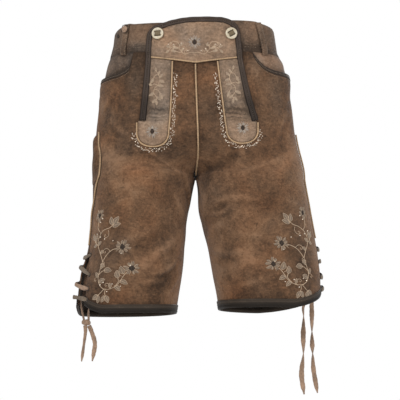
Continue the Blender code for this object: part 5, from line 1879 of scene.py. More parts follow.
def joined(name, pieces):
    """Several pieces of one finish made into one."""
    edit = bmesh.new()
    for piece in pieces:
        edit.from_mesh(piece.data)
    mesh = bpy.data.meshes.new(name)
    edit.to_mesh(mesh)
    edit.free()
    for material in pieces[0].data.materials:
        mesh.materials.append(material)
    for piece in pieces:
        bpy.data.objects.remove(piece)
    mesh.shade_smooth()
    return add_object(name, mesh)


# ---------------------------------------------------------------- buttons and loops

SLOT = (0.0124, 0.0030)
BRIDGE = 0.0042
STRAP = (0.0104, 0.0012)


def surface_axes(x, z, lift):
    """The point on the front at (x, z), with the directions across, up and out of it."""
    point, above = on_front(x, z, lift), on_front(x, z, lift + 0.001)
    out = unit(above - point)
    across = unit(np.cross((0.0, 0.0, 1.0), out))
    return point, across, np.cross(out, across), out


def turned_rings(profile, sides=56):
    profile = np.array(profile)
    turn = np.arange(sides) * 2 * math.pi / sides
    radius = np.maximum(profile[:, 0], 1e-5)
    rings = radius[:, None, None] * stacked(np.cos(turn), np.sin(turn), 0 * turn)
    return rings + np.array([0.0, 0.0, 1.0]) * profile[:, 1][:, None, None]


def cut_out(piece, boxes):
    """Cuts rounded boxes out of a piece and keeps the result."""
    for k, (low, high) in enumerate(boxes):
        mesh = bpy.data.meshes.new(f"cutter_{k}")
        edit = bmesh.new()
        bmesh.ops.create_cube(edit, size=1.0)
        for vertex in edit.verts:
            vertex.co = [(a + b) / 2 + v * (b - a) for a, b, v in zip(low, high, vertex.co)]
        upright = [e for e in edit.edges if abs(e.verts[0].co.z - e.verts[1].co.z) > 0.001]
        bmesh.ops.bevel(edit, geom=upright, offset=0.0007, segments=4, affect="EDGES")
        edit.to_mesh(mesh)
        edit.free()
        cutter = add_object(f"cutter_{k}", mesh)
        cut = piece.modifiers.new("slot", "BOOLEAN")
        cut.operation, cut.object, cut.solver = "DIFFERENCE", cutter, "EXACT"
        graph = bpy.context.evaluated_depsgraph_get()
        result = bpy.data.meshes.new_from_object(piece.evaluated_get(graph))
        piece.modifiers.remove(cut)
        piece.data = result
        bpy.data.objects.remove(cutter)
    return piece


def set_on(piece, point, across, up, out):
    """Moves a piece's mesh from its own axes to a place on the leather."""
    coords = np.empty(len(piece.data.vertices) * 3)
    piece.data.vertices.foreach_get("co", coords)
    coords = coords.reshape(-1, 3) @ np.stack([across, up, out]) + point
    piece.data.vertices.foreach_set("co", coords.ravel())
    piece.data.update()
    return piece


def make_buttons():
    for side in BOTH:
        x, z = BUTTON_PLACES[side]
        stand = TRIM + LAY_GAP
        point, across, up, out = surface_axes(x, z, flap_lift(z) + LEATHER + LAY_GAP + stand)
        turn = math.radians(BUTTON_TURN[side])
        cosine, sine = math.cos(turn), math.sin(turn)
        along, over = across * cosine + up * sine, up * cosine - across * sine
        rim, top = BUTTON_R, BUTTON_WALL
        face = top - 0.0007
        profile = [(0.0, face), (rim * 0.35, face), (rim - 0.0036, face), (rim - 0.0031, face + 0.0001)]
        profile += [(rim - 0.0027, top - 0.00012), (rim - 0.0022, top), (rim - 0.0014, top)]
        profile += [(rim - 0.0007, top - 0.0003), (rim - 0.0002, top - 0.0008), (rim, top - 0.0014)]
        profile += [(rim, 0.0012), (rim - 0.0004, 0.0004), (rim - 0.0010, 0.0), (rim * 0.4, 0.0), (0.0, 0.0)]
        button = loft("button_" + SIDES[side], turned_rings(profile), "horn")
        middle = (BRIDGE + SLOT[1]) / 2
        boxes = [
            ((-SLOT[0] / 2, s * middle - SLOT[1] / 2, -0.01), (SLOT[0] / 2, s * middle + SLOT[1] / 2, 0.02))
            for s in (1, -1)
        ]
        set_on(cut_out(button, boxes), point, along, over, out)
        placed(button, "horn", "horn_button_" + SIDES[side])
        high, foot = face + LAY_GAP, -stand
        inner = BRIDGE / 2 + LAY_GAP
        outer = inner + STRAP[1]
        section_of = [(-outer, foot), (-outer, high + 0.0003), (-outer + 0.0004, high + 0.0009)]
        section_of += [(-inner, high + STRAP[1]), (0.0, high + STRAP[1] + 0.0002), (inner, high + STRAP[1])]
        section_of += [(outer - 0.0004, high + 0.0009), (outer, high + 0.0003), (outer, foot)]
        section_of += [(inner, foot), (inner, high), (-inner, high), (-inner, foot)]
        ends = (-1.0, -0.96, -0.6, -0.2, 0.2, 0.6, 0.96, 1.0)
        shrink = (0.0, 0.0003, 0.0, 0.0, 0.0, 0.0, 0.0003, 0.0)
        rings = []
        for end, drop in zip(ends, shrink):
            rings.append([(end * STRAP[0] / 2, y, h - drop * (h > high)) for y, h in section_of])
        strap = set_on(loft("strap_" + SIDES[side], rings, "strap"), point, along, over, out)
        placed(strap, "dark_leather", "button_strap_" + SIDES[side])


def loop_lift(share):
    """A belt loop lies on the waistband at both ends and stands off it between them."""
    stand = 0.0024 * smooth(0.0, 0.16, share) * (1 - smooth(0.84, 1.0, share))
    return BAND_WALL + LAY_GAP + stand


def make_loops():
    rows = []
    for side in BOTH:
        x_top, x_bottom = FRONT_LOOPS[side]
        top = top_edge(side, angle_at(side, x_top, 0.0)) - 0.0010
        share = spread(0.0, 1.0, 40)
        down_it = top + (-WAISTBAND - LOOP_DROP - top) * share
        path = stacked(x_top + (x_bottom - x_top) * share, down_it)
        lift = loop_lift(share)
        half = BELT_LOOP / 2 * (1 + 0.03 * np.sin(share * 9 + side))
        rings = strip_rings(on_front, path, half, round_profile(THONG_WALL, 11, 0.0008), lift)
        tone = np.zeros(rings.shape)
        tone[..., 0] = -0.05 + 0.25 * np.sin(share * 7 + side)[:, None]
        loop = loft("loop_" + SIDES[side], rings, "band", tone)
        placed(loop, "suede", "belt_loop_" + SIDES[side])
        for edge in (-1, 1):
            offset = path + across_of(path) * (edge * 0.0034)
            low = on_front(offset[:, 0], offset[:, 1], lift + THONG_WALL * 0.98)
            above = on_front(offset[:, 0], offset[:, 1], lift + THONG_WALL + 0.001)
            rows.append((low[2:-2], unit(above - low)[2:-2]))
    placed(add_stitches("stitches_loops", rows, "seam", 0.0032, 0.0022, 0.0006), "piping")
    # A dark oval on the band, painted shade for the hole that the lace goes through.
    turn = np.arange(14) * 2 * math.pi / 14
    place, levels = beside_seam(RIGHT), ((1.0, -0.0004), (0.9, 0.0003), (0.5, 0.0005), (0.02, 0.0005))
    middle = angle_at(RIGHT, HOLE_X, HOLE_HEIGHT)
    spot = (middle - seam_angle(RIGHT, HOLE_HEIGHT)) * arc_scale(RIGHT, HOLE_HEIGHT)
    rings = []
    for r, h in levels:
        up_it = HOLE_HEIGHT + 0.0044 * r * np.sin(turn + 0.5)
        rings.append(place(spot + 0.0105 * r * np.cos(turn), up_it, BAND_WALL + 0.0006 + h))
    placed(loft("waist_hole", rings, "bead"), "dark_leather")
    point, across, up, out = surface_axes(-0.1243, -0.0090, loop_lift(0.14) + THONG_WALL + LAY_GAP + 0.0006)
    profile = [(0.0, 0.0050), (0.0016, 0.0049), (0.0031, 0.0045), (0.0047, 0.0037), (0.0059, 0.0026)]
    profile += [(0.0065, 0.0015), (0.0062, 0.0005), (0.0049, 0.0), (0.0, 0.0)]
    parts = [loft("waist_knot_core", turned_rings(profile, 20), "thong")]
    centre = np.array([0.0, 0.0, 0.0012])
    for k, axis in enumerate(((1.0, 0.0, 0.0), (0.0, 1.0, 0.0), (0.7, 0.7, 0.1))):
        rings = wrap_rings(centre, axis, 0.0045 + 0.0003 * k, 190 if k else 100, 0.52, 0.0028, 0.0012)
        parts.append(loft(f"waist_knot_wrap_{k}", rings, "thong"))
    strands, low = [], np.array([0.0, 0.0, 0.0008])
    for k, (turn, reach) in enumerate(((20, 0.0080), (150, 0.0072), (265, 0.0086))):
        rings = wrap_rings(low, (0.1 * k, 0.1, 1.0), reach, turn, 0.24, 0.0014, 0.0012)
        strands.append(loft(f"waist_strand_{k}", rings, "edge"))
    for part in parts + strands:
        set_on(part, point, across, up, out)
    placed(joined("waist_strands", strands), "dark_leather")
    placed(joined("waist_knot", parts), "thong", "waist_knot_right")


# ---------------------------------------------------------------- sewing and embroidery


def on_flap(x, z, lift=0.0):
    """A placing function for the front of the flap and the panels beside it."""
    return on_front(x, z, flap_lift(z) + LEATHER + lift)


def on_tongue(x, z, lift=0.0):
    return on_front(x, z, LEATHER + LAY_GAP + tuck_lift(z) + TRIM + lift)


def on_leg(side):
    """Places given as (towards the front from the side seam, height) in metres."""
    place = beside_seam(side)
    return lambda u, z, lift=0.0: place(-u, z, LEATHER + lift)


def patches(name, place, rows, material):
    """Raised satin leaves and petals. Each row says u, v, heading, length, width, fullness and
    kind, which is 0 for a leaf and 1 for a petal."""
    along, across = spread(0.0, 1.0, 10), spread(-1.0, 1.0, 6)
    points, faces, corners = [], [], []
    cells = grid_cells(len(along), len(across)).reshape(-1, 4)
    count = len(along) * len(across)
    own = shell_faces(cells, count)
    for u, v, heading, length, width, full, kind in rows:
        if kind:  # a petal is widest beyond its middle
            outline = np.sin(math.pi * along**1.35) ** 0.62
        else:
            outline = np.sin(math.pi * along**0.85) ** 0.8
        half = width / 2 * np.maximum(outline, 0.04)
        s = along[:, None] * length + 0 * across
        t = half[:, None] * across + 0.10 * width * np.sin(math.pi * along)[:, None] * (1 - kind)
        turn = math.radians(heading)
        us = u + s * math.cos(turn) - t * math.sin(turn)
        vs = v + s * math.sin(turn) + t * math.cos(turn)
        dome = full * (1 - across**2) ** 0.5 * np.minimum(1.0, outline * 1.6)[:, None]
        vein = 0.45 * full * bell(across, 0.22) * np.sin(math.pi * along)[:, None]
        top = place(us, vs, 0.0001 + dome - vein)
        low = place(us, vs, 0 * dome - 0.0002)
        start = len(points) * 2 * count
        points.append(np.vstack([top.reshape(-1, 3), low.reshape(-1, 3)]))
        faces.append(own + start)
        uv = stacked((s + 0.35 * np.abs(t)).ravel(), t.ravel())
        corners.append(np.vstack([uv, uv])[own].reshape(-1, 2))
    return add_mesh(name, np.vstack(points), np.vstack(faces), material, 0, None, np.vstack(corners))


def leaf_lines(rows):
    """The outline and the middle vein of each leaf in rows like those of patches."""
    lines = []
    for u, v, heading, length, width, _, _ in rows:
        a, t = math.radians(heading), spread(0.0, 1.0, 9)
        half = width / 2 * np.maximum(np.sin(math.pi * t**0.85) ** 0.8, 0.02)
        bend = 0.10 * width * np.sin(math.pi * t)
        loop = [stacked(t * length, bend + half), stacked(t * length, bend - half)[::-1]]
        vein = stacked(t[:-2] * length, bend[:-2])
        turn = np.array([[math.cos(a), math.sin(a)], [-math.sin(a), math.cos(a)]])
        lines += [np.vstack(loop) @ turn + [u, v], vein @ turn + [u, v]]
    return lines


def add_leaves(name, place, rows, radius, fill="leaf"):
    """Filled leaves with a pale thread round each and along its middle."""
    filled = placed(patches("leaves_" + name, place, rows, fill), "piping")
    lines = all_laid(place, leaf_lines(rows), 0.00045)
    return filled, placed(add_threads("outlines_" + name, lines, "thread", radius, 5), "piping")


def curl(u, v, heading, size, turns=1.15, way=1):
    """A tendril that winds in on itself."""
    t = spread(0.0, 1.0, 16)
    angle = math.radians(heading) + way * t * turns * 2 * math.pi * (0.35 + 0.65 * t)
    step = size * (1 - 0.80 * t)
    path = np.cumsum(stacked(np.cos(angle), np.sin(angle)) * step[:, None], axis=0)
    return path - path[0] + [u, v]


def edelweiss(u, v, size, petals=9, turn=0.0):
    """Petal rows for one flower, long and short by turns."""
    rows = []
    for k in range(petals):
        heading = turn + 360 / petals * k + 5 * math.sin(k * 2.4)
        start, length = size * 0.34, size * (0.70 if k % 2 else 0.58)
        a = math.radians(heading)
        spot = (u + start * math.cos(a), v + start * math.sin(a))
        rows.append((*spot, heading, length, size * 3.0 / petals, 0.0005, 1))
    return rows


def rays(u, v, inner, outer, count, turn=0.0):
    """Short straight threads round a flower's centre."""
    lines = []
    for k in range(count):
        a = math.radians(turn + 360 / count * k + 6 * math.sin(k * 1.7))
        far = outer * (1.0 if k % 2 else 0.78)
        reach = np.array([[inner], [(inner + far) / 2], [far]])
        lines.append([u, v] + reach * [math.cos(a), math.sin(a)])
    return lines


def centre_seed(name, place, spots):
    """The dark oval middle of each flower: u, v, half width, half height."""
    points, faces, turn = [], [], np.arange(12) * math.pi / 6
    across, along = powered(np.cos(turn), 1.3), powered(np.sin(turn), 1.3)
    for k, (u, v, wide, tall) in enumerate(spots):
        levels = ((1.0, -0.0003), (1.0, 0.0004), (0.86, 0.0009), (0.50, 0.0014), (0.02, 0.0016))
        for share, lift in levels:
            points.append(place(u + wide * share * across, v + tall * share * along, lift + 0 * turn))
        for r in range(len(levels) - 1):
            for c in range(12):
                a, b = (k * 5 + r) * 12 + c, (k * 5 + r) * 12 + (c + 1) % 12
                faces.append([a, b, b + 12, a + 12])
        faces.append([k * 60 + c for c in range(12)][::-1])
        faces.append([k * 60 + 48 + c for c in range(12)])
    return add_mesh(name, np.vstack(points), faces, "bead")


# The leg's spray in millimetres from its root: u towards the front, v up.
SPRAY_STEMS = [
    [(3, 0), (-5, 7), (-9, 20), (-6, 35), (-3, 48), (-9, 62), (-16, 76), (-17, 88), (-11, 99)],
    [(-11, 99), (-17, 106), (-19, 114), (-19, 122)],
    [(-11, 98), (-2, 104), (8, 107), (15, 113)],
    [(-3, 48), (5, 60), (13, 67), (23, 71)],
    [(1, 1), (12, 0), (22, 4), (29, 11), (35, 22), (40, 29)],
    [(-16, 77), (-22, 81), (-27, 88)],
    [(3, 0), (-3, -6), (-9, -11)],
    [(6, 0), (5, -6), (6, -11)],
    [(24, 7), (28, 13), (27, 20)],
    [(-8, 26), (-2, 31), (3, 33)],
]
SPRAY_CURLS = [(6, 103, -60, 3.0, -1), (11, 66, 120, 2.9, 1), (-3, 50, -20, 2.0, -1), (14, 0, 70, 2.6, 1)]
SPRAY_CURLS += [(-9, 20, 150, 2.0, 1), (33, 22, 160, 2.2, -1), (-17, 90, 160, 2.4, 1)]
SPRAY_LEAVES = rows_of("u* v* heading* length* width*", """
14 112 112 13 7.6
16 112 62 14 8
14 109 18 13 7.4
-27 87 118 12 6.8
-25 84 68 13 7.2
-20 80 -150 9 5
-17 78 34 9 5
-9 62 40 8 4.6
-4 36 68 9 5.2
2 33 -4 13 7.8
-6 44 -28 9 5
-7 12 24 12 6.8
-9 22 128 9 5.4
-9 -9 -146 12 7.4
-8 -10 -92 12 7
6 -11 -66 12 7
4 -11 -116 11 6
22 6 -46 11 6.2
27 19 96 12 7.4
30 15 -30 11 6.4
36 26 112 13 7.6
15 2 96 8 4.8
""")
SPRAY_BEADS = [(-9, 124), (-4, 8), (2, 12), (18, 9), (9, -4), (44, 41), (-12, 92), (31, 5), (-1, 88), (-22, 98)]
SPRAY_BEADS += [(30, 62), (16, 84), (-14, 118)]
SPRAY_FLOWERS = [(-18, 130, 12.0, 9), (32, 73, 13.0, 10), (46, 36, 12.0, 9)]
SPRAYS = {RIGHT: (0.055, -0.4850, 1.08, 1.04), LEFT: (0.088, -0.4765, 1.27, 1.02)}  # u, z, scales


def make_leg_sprays():
    """A climbing spray with three flowers beside each side vent."""
    for side in BOTH:
        place, name = on_leg(side), SIDES[side]
        u0, z0, wide, tall = SPRAYS[side]
        scale = np.array([wide, tall]) * 0.001

        def spot(pairs):
            return np.asarray(pairs, float) * scale + [u0, z0]

        stems = all_laid(place, [smooth_route(spot(stem), 7) for stem in SPRAY_STEMS], 0.0003)
        fine = all_laid(place, [spot(curl(*row[:4], 1.15, row[4])) for row in SPRAY_CURLS], 0.0002)
        leaves, petals, threads, seeds = [], [], [], []
        for u, v, a, s, w in SPRAY_LEAVES:
            leaves.append((*spot((u, v)), a, s * 0.00118, w * 0.00122, 0.0007, 0))
        for k, (u, v, size, count) in enumerate(SPRAY_FLOWERS):
            centre = spot((u, v))
            petals += edelweiss(*centre, size * 0.001, count, 20 * k)
            threads += rays(*centre, size * 0.0003, size * 0.00108, count, 9 + 20 * k)
            seeds.append((*centre, size * 0.00034, size * 0.00050))
        sewing, beads = bpy.context.scene.lederhosen_sewing, spot(SPRAY_BEADS)
        borders = all_laid(place, leaf_lines(petals), 0.0006)
        add_leaves("leg_" + name, place, leaves, 0.00030)
        for piece in (
            add_threads("stems_leg_" + name, stems, "thread", sewing.stem),
            add_threads("tendrils_leg_" + name, fine, "thread", sewing.fine, 5),
            add_threads("rays_leg_" + name, all_laid(place, threads, 0.0007), "thread", 0.00030, 5),
            patches("petals_leg_" + name, place, petals, "leaf"),
            add_threads("edges_leg_" + name, borders, "silver", 0.00032, 5),
            centre_seed("seeds_leg_" + name, place, seeds),
            add_beads("beads_leg_" + name, place(beads[:, 0], beads[:, 1], 0.0008), "bright", sewing.bead),
        ):
            placed(piece, "piping")


YOKE_STEMS = [  # in millimetres from the middle of the yoke's flower; each is also sewn mirrored
    [(0, -20), (7, -19), (13, -21), (18, -22), (23, -18), (28, -12), (34, -9), (41, -10), (46, -15)],
    [(23, -18), (27, -19), (33, -17)],
    [(28, -12), (27, -6), (31, 0), (36, 1)],
]
YOKE_CURLS = [(41, -10, 20, 2.0, 1), (36, 1, 10, 2.0, -1), (16, -22, 40, 1.5, 1)]
YOKE_LEAVES = rows_of("u* v* heading* length* width*", """
30 -12 20 10 4.6
33 -17 6 9 4.4
27 -7 150 8 4
46 -15 -40 7 3.8
44 -10 30 8 4
23 -17 120 7 3.6
36 -10 80 7 3.6
38 -11 -70 7 3.6
""")
VINE = [(0, 0), (5, -8), (8, -18), (4, -28), (-2, -34), (-3, -43), (2, -51), (1, -57)]
VINE_BRANCHES = [
    [(4, -28), (-3, -26), (-7, -28)],
    [(5, -8), (-1, -10), (-4, -15)],
    [(-2, -36), (5, -38), (8, -43)],
]
VINE_LEAVES = rows_of("u* v* heading* length* width*", """
7 -20 -20 8 4
-7 -28 150 5 3.4
-4 -15 -120 9 4.4
8 -14 50 7 3.6
8 -43 -70 10 5
-3 -42 -150 9 4.4
4 -29 -8 9 4
2 -50 -40 8 4
1 -54 -140 8 4
1 -57 -80 7 3.4
1 -2 96 6 3
5 -8 60 6 3
""")
VINE_HEADS = {RIGHT: (-0.0715, -0.0890), LEFT: (0.0690, -0.0855)}
TONGUE_FLOWERS = {RIGHT: (-0.0775, -0.2000), LEFT: (0.0850, -0.1935)}


def make_flap_embroidery():
    """Flower and garland on the yoke, a vine on each tongue and a flower at its round end."""
    centre = np.array([-0.0017, -0.0382])
    stems, leaves, fine, beads = [], [], [], []
    for way in (1, -1):
        sides = np.array([way, 1.0]) * 0.001
        routes = [smooth_route(np.array(stem) * sides + centre, 6) for stem in YOKE_STEMS]
        stems += all_laid(on_flap, routes, 0.0003)
        for u, v, a, size, turn in YOKE_CURLS:
            fine.append(laid(on_flap, curl(u, v, a, size, 1.1, turn) * sides + centre, 0.0002))
        for u, v, a, s, w in YOKE_LEAVES:
            heading = a if way > 0 else 180 - a
            leaves.append((*(sides * [u, v] + centre), heading, s * 0.00100, w * 0.00090, 0.0004, 0))
        beads += [sides * spot + centre for spot in ((24, -2), (20, -12), (38, -4), (47, -4), (12, -16))]
    threads = rays(*centre, 0.0050, 0.0125, 26)
    petals = edelweiss(*centre, 0.0112, 12, 10)
    seeds = [(*centre, 0.0040, 0.0056)]
    beads = np.array(beads)
    sewn = [
        add_threads("stems_yoke", stems, "thread", 0.00038),
        add_threads("tendrils_yoke", fine, "thread", 0.00034, 5),
        add_threads("rays_yoke", all_laid(on_flap, threads, 0.0006), "frost", 0.00034, 5),
        *add_leaves("yoke", on_flap, leaves, 0.00022, "silver"),
        patches("petals_yoke", on_flap, petals, "silver"),
        centre_seed("seeds_yoke", on_flap, seeds),
        add_beads("beads_yoke", on_flap(beads[:, 0], beads[:, 1], 0.0006), "bright", 0.0014),
    ]
    for side in BOTH:
        name, head = SIDES[side], np.array(VINE_HEADS[side])
        scale = np.array([-side, 1.0]) * 0.00098
        routes = [smooth_route(np.array(stem) * scale + head, 6) for stem in (VINE, *VINE_BRANCHES)]
        leaves = []
        for u, v, a, s, w in VINE_LEAVES:
            heading = a if side < 0 else 180 - a
            leaves.append((*(np.array([u, v]) * scale + head), heading, s * 0.00120, w * 0.00115, 0.0004, 0))
        flower = TONGUE_FLOWERS[side]
        threads = rays(*flower, 0.0046, 0.0118, 26, 7)
        sewn += [
            add_threads("stems_tongue_" + name, all_laid(on_tongue, routes, 0.0003), "thread", 0.00036),
            *add_leaves("tongue_" + name, on_tongue, leaves, 0.00022, "silver"),
            add_threads("rays_tongue_" + name, all_laid(on_tongue, threads, 0.0006), "frost", 0.00034, 5),
            patches("petals_tongue_" + name, on_tongue, edelweiss(*flower, 0.0104, 12, 30), "silver"),
            centre_seed("seeds_tongue_" + name, on_tongue, [(*flower, 0.0036, 0.0050)]),
        ]
    for piece in sewn:
        placed(piece, "piping")


BORDER_OUT, BORDER_STEP, BORDER_SCATTER = 0.0062, 0.0013, 0.0036


def make_tongue_borders():
    """The broken band of scattered pale dashes that follows each tongue outside its piping."""
    draw = np.random.default_rng(bpy.context.scene.lederhosen_sewing.seed + 6)
    for side in BOTH:
        line = evenly(tongue_outline(side, BORDER_OUT, 0.022)[:-2], BORDER_STEP)
        dashes = []
        for middle, out in zip(line, across_of(line)):
            middle = middle + out * draw.uniform(-BORDER_SCATTER, BORDER_SCATTER)
            middle = middle + draw.uniform(-0.0012, 0.0012, 2)
            heading, half = draw.uniform(0.0, math.pi), draw.uniform(0.0004, 0.0009)
            reach = np.array([math.cos(heading), math.sin(heading)]) * half
            dashes.append(laid(on_flap, [middle - reach, middle + reach], 0.0002))
        placed(add_threads("border_" + SIDES[side], dashes, "bright", 0.00053, 6), "piping")
    # A dark bar tack across the top of the crotch, which also stands in for the shade there.
    tack = []
    for z in spread(CROTCH + 0.0012, CROTCH + 0.0095, 6):
        row = [(x + CENTRE_SEAM("shift", z), z) for x in (-0.0052, 0.0, 0.0052)]
        tack.append(laid(on_front, row, LEATHER + 0.0006))
    placed(add_threads("crotch_tack", tack, "shadow", 0.0009, 6), "piping")


def sewn_row(side, angle, z, lift, start=-0.0002):
    """A row of points on one side's leather, with the directions out of it."""
    low, high = (leather(side, angle, z, lift + h) for h in (start, 0.001))
    return low, unit(high - low)


def knife_row(share, z, bulge):
    angle = off_seam(RIGHT, KNIFE_REACH[0] + KNIFE_REACH[1] * share, z)
    return sewn_row(RIGHT, angle, z, LEATHER + LAY_GAP + bulge + TRIM, -0.0001)


# How far the rows of stitches lie from the edge or seam that they follow.
SIDE_OFF = 0.0036
MOUTH_ROWS = ((0.0034, 0.0006), (0.0088, 0.0))  # with their height above the leather
HEM_ROWS = (0.0035, 0.0080, 0.0118)
BAND_ROWS = (0.0052, 0.0400, 0.0448)
BACK_ROWS = (0.0030, 0.0062)
TUCK_ROWS = (-0.1660, -0.1745)  # heights
KNIFE_ROWS = (0.0020, 0.0046)
YOKE_OFF = 0.0034


def seam_rows():
    """Rows of small stitches beside the seams, as (name, thread, spacing, length, width, lines)."""
    mouth, side_rows, hem, band, back, knife, tongue, flap, cross = ([] for _ in range(9))
    for side in BOTH:
        place = beside_seam(side)
        z = spread(-0.196, VENTS[side][2] + 0.002, 90)
        for arc in (-SIDE_OFF, SIDE_OFF):
            z_row = z[z < -0.292] if side == RIGHT and arc > 0 else z  # clear of the knife pocket
            side_rows.append(laid(place, stacked(0 * z_row + arc, z_row), LEATHER - 0.0001))
        start = angle_at(side, side * (MOUTHS[side].keys[0] + 0.004), MOUTH_TOP)
        end = off_seam(side, -0.004, -0.094)
        angle = spread(start, end, 60)
        for down, lift in MOUTH_ROWS:
            level = mouth_height(side, angle) - down
            height = pocket_lift(side, angle, level) + (LEATHER + lift)
            mouth.append(sewn_row(side, angle, level, height, 0.0))
        for angles_at, share in (
            (outer_angles, spread(0.02, 0.99, 90)),
            (inner_angles, spread(0.99, 0.02, 50)),
            (back_angles, spread(0.01, 0.99, 130)),
        ):
            bottom = hem_height(side, angles_at(side, HEM_LEVEL, share))
            for up in HEM_ROWS:
                angle = angles_at(side, bottom + up, share)
                hem.append(sewn_row(side, angle, bottom + up, LEATHER + LAY_GAP + TRIM))
        angle = spread(0.02, math.pi - 0.01, 260)
        for down in BAND_ROWS:
            level = top_edge(side, angle) * (1 - down / WAISTBAND) - down
            points, out = sewn_row(side, angle, level, BAND_WALL, -0.0001)
            free = (np.abs(points[:, 0]) > 0.090) | (points[:, 1] > 0)  # clear of the flap
            band.append((points[free], out[free]))
        z = spread(MOUTH_TOP - 0.004, -0.268, 120)
        for off in BACK_ROWS:
            angle = math.pi - off / HIP_WIDTHS(SIDES[side], z)
            back.append(sewn_row(side, angle, z, LEATHER))
        tongue.append(laid(on_tongue, tongue_outline(side, -0.0032)[2:-3], -0.0001))
        for level in TUCK_ROWS:
            x_in, x_out = pipe_line(side, level) + 0.004, slit(side, level) - BINDING[1] / 2 - 0.003
            x = side * spread(x_in, x_out, 18)
            cross.append(laid(on_tongue, stacked(x, level + 0.0008 * np.sin(x * 300)), 0.0001))
    across, down = spread(0.03, 0.97, 20), spread(0.02, 0.97, 60)
    for share in (0.045, 0.955):
        top = knife_top(share)
        z = top + (KNIFE_END + 0.008 - top) * down
        bulge = KNIFE_BULGE * math.sin(math.pi * share) ** 0.7 * (1 - smooth(0.45, 1.0, down))
        knife.append(knife_row(share, z, bulge))
    for off in KNIFE_ROWS:
        z = knife_top(across) - off
        bulge = KNIFE_BULGE * np.sin(math.pi * across) ** 0.7
        knife.append(knife_row(across, z, bulge))
    path = binding_path()
    base = flap_lift(path[:, 1]) + LEATHER + LAY_GAP
    for off in (0.0, 0.9, -0.9):
        row = path + across_of(path) * (binding_width(path[:, 1]) / 2 * off)[:, None]
        flap.append(laid(on_front, row, base + 0.0006))
    x = spread(-slit(RIGHT, FLAP_SEAM[1]) + 0.008, slit(LEFT, FLAP_SEAM[1]) - 0.008, 80)
    seam = stacked(x, flap_seam(x) + YOKE_OFF)
    return (
        ("mouth", "seam", 0.0030, 0.0021, 0.0006, mouth),
        ("side", "seam", 0.0034, 0.0023, 0.0005, side_rows),
        ("hem", "shadow", 0.0030, 0.0021, 0.0006, hem),
        ("band", "seam", 0.0034, 0.0022, 0.0005, band),
        ("back", "seam", 0.0034, 0.0024, 0.0006, back),
        ("knife", "seam", 0.0030, 0.0021, 0.0006, knife),
        ("tongue", "seam", 0.0030, 0.0020, 0.0005, tongue),
        ("tucks", "shadow", 0.0026, 0.0020, 0.0006, cross),
        ("flap", "seam", 0.0034, 0.0018, 0.0005, flap),
        ("yoke", "seam", 0.0030, 0.0020, 0.0005, [laid(on_flap, seam, -0.0001)]),
    )


def make_seam_stitches():
    for name, thread, spacing, length, width, lines in seam_rows():
        piece = add_stitches("stitches_" + name, lines, thread, spacing, length, width)
        placed(piece, "dark_leather" if thread == "shadow" else "piping")


# ---------------------------------------------------------------- stage and cuts

FLOOR_HALF = 6.0
# Flat width and length of each piece, and its flat area.
FRONT_CUT = {RIGHT: (0.285, 0.475, 0.112), LEFT: (0.320, 0.465, 0.132)}
BACK_CUT = {RIGHT: (0.350, 0.500, 0.156), LEFT: (0.330, 0.470, 0.136)}
BAND_CUT = {"front_": (0.245, 0.052, 0.0121), "back_": (0.255, 0.052, 0.0129)}
YOKE_CUT = (0.165, 0.072, 0.0112)
TONGUE_CUT = (0.056, 0.160, 0.0067)
HIP_CUT = (0.115, 0.056, 0.0052)
KNIFE_CUT = (0.046, 0.092, 0.0035)
VENT_CUT = {RIGHT: (0.046, 0.086, 0.0032), LEFT: (0.036, 0.083, 0.0025)}


def cut_piece(piece, slot, cut, *nodes):
    """Places a piece of leather. The cut, its size, is not used."""
    placed(piece, slot, *nodes)


def area_light(name, place, aim, power, size, tint=(1.0, 1.0, 1.0)):
    light = bpy.data.lights.new(name, "AREA")
    light.energy, light.size, light.color = power, size, tint
    lamp = add_object(name, light)
    lamp.location = place
    lamp.rotation_euler = (Vector(aim) - Vector(place)).to_track_quat("-Z", "Y").to_euler()


def make_stage(scene):
    stage = scene.lederhosen_stage
    camera = bpy.data.cameras.new("camera")
    camera.sensor_width, camera.lens = 36.0, 170.3
    camera.clip_end = 50.0
    holder = add_object("camera", camera)
    holder.location = (0.0083, -stage.distance, -stage.drop)
    holder.rotation_euler = (math.radians(96.31), 0.0, 0.0)
    scene.camera = holder
    scene.view_settings.view_transform = "Standard"
    world = bpy.data.worlds.new("room")
    scene.world = world
    world.use_nodes = True
    world.node_tree.nodes.clear()
    g = Graph(world.node_tree)
    path = g.node("ShaderNodeLightPath")
    white = g.node("ShaderNodeBackground", None, {"Color": (1.0, 1.0, 1.0, 1.0), "Strength": 1.0})
    soft = g.node("ShaderNodeBackground", None, {"Color": (0.97, 0.985, 1.0, 1.0), "Strength": stage.room})
    seen = g.node("ShaderNodeMixShader", None, {0: path, 1: soft, 2: white})
    g.node("ShaderNodeOutputWorld", None, {"Surface": seen}, None)
    centre = (0.0, 0.0, -0.30)
    area_light("key", (-1.1, -2.2, 1.1), centre, stage.key, 1.4)
    area_light("fill", (1.8, -1.5, 0.1), centre, stage.fill, 1.6)
    area_light("back", (0.8, 2.4, 1.0), centre, stage.key * 0.8, 1.6)
    level = CAD_BOX[0][2] - 0.04
    corners = [(x * FLOOR_HALF, y * FLOOR_HALF, level) for x, y in ((-1, -1), (1, -1), (1, 1), (-1, 1))]
    add_mesh("floor", corners, [(0, 1, 2, 3)], "floor")


# ---------------------------------------------------------------- the add-on


def colour(name, screen, about):
    return FloatVectorProperty(
        name=name, description=about, default=linear(screen), size=3, min=0.0, max=1.0, subtype="COLOR"
    )


def length(name, value, about):
    return FloatProperty(name=name, description=about, default=value, min=0.0001, unit="LENGTH")


def amount(name, value, about):
    return FloatProperty(name=name, description=about, default=value, min=0.0)


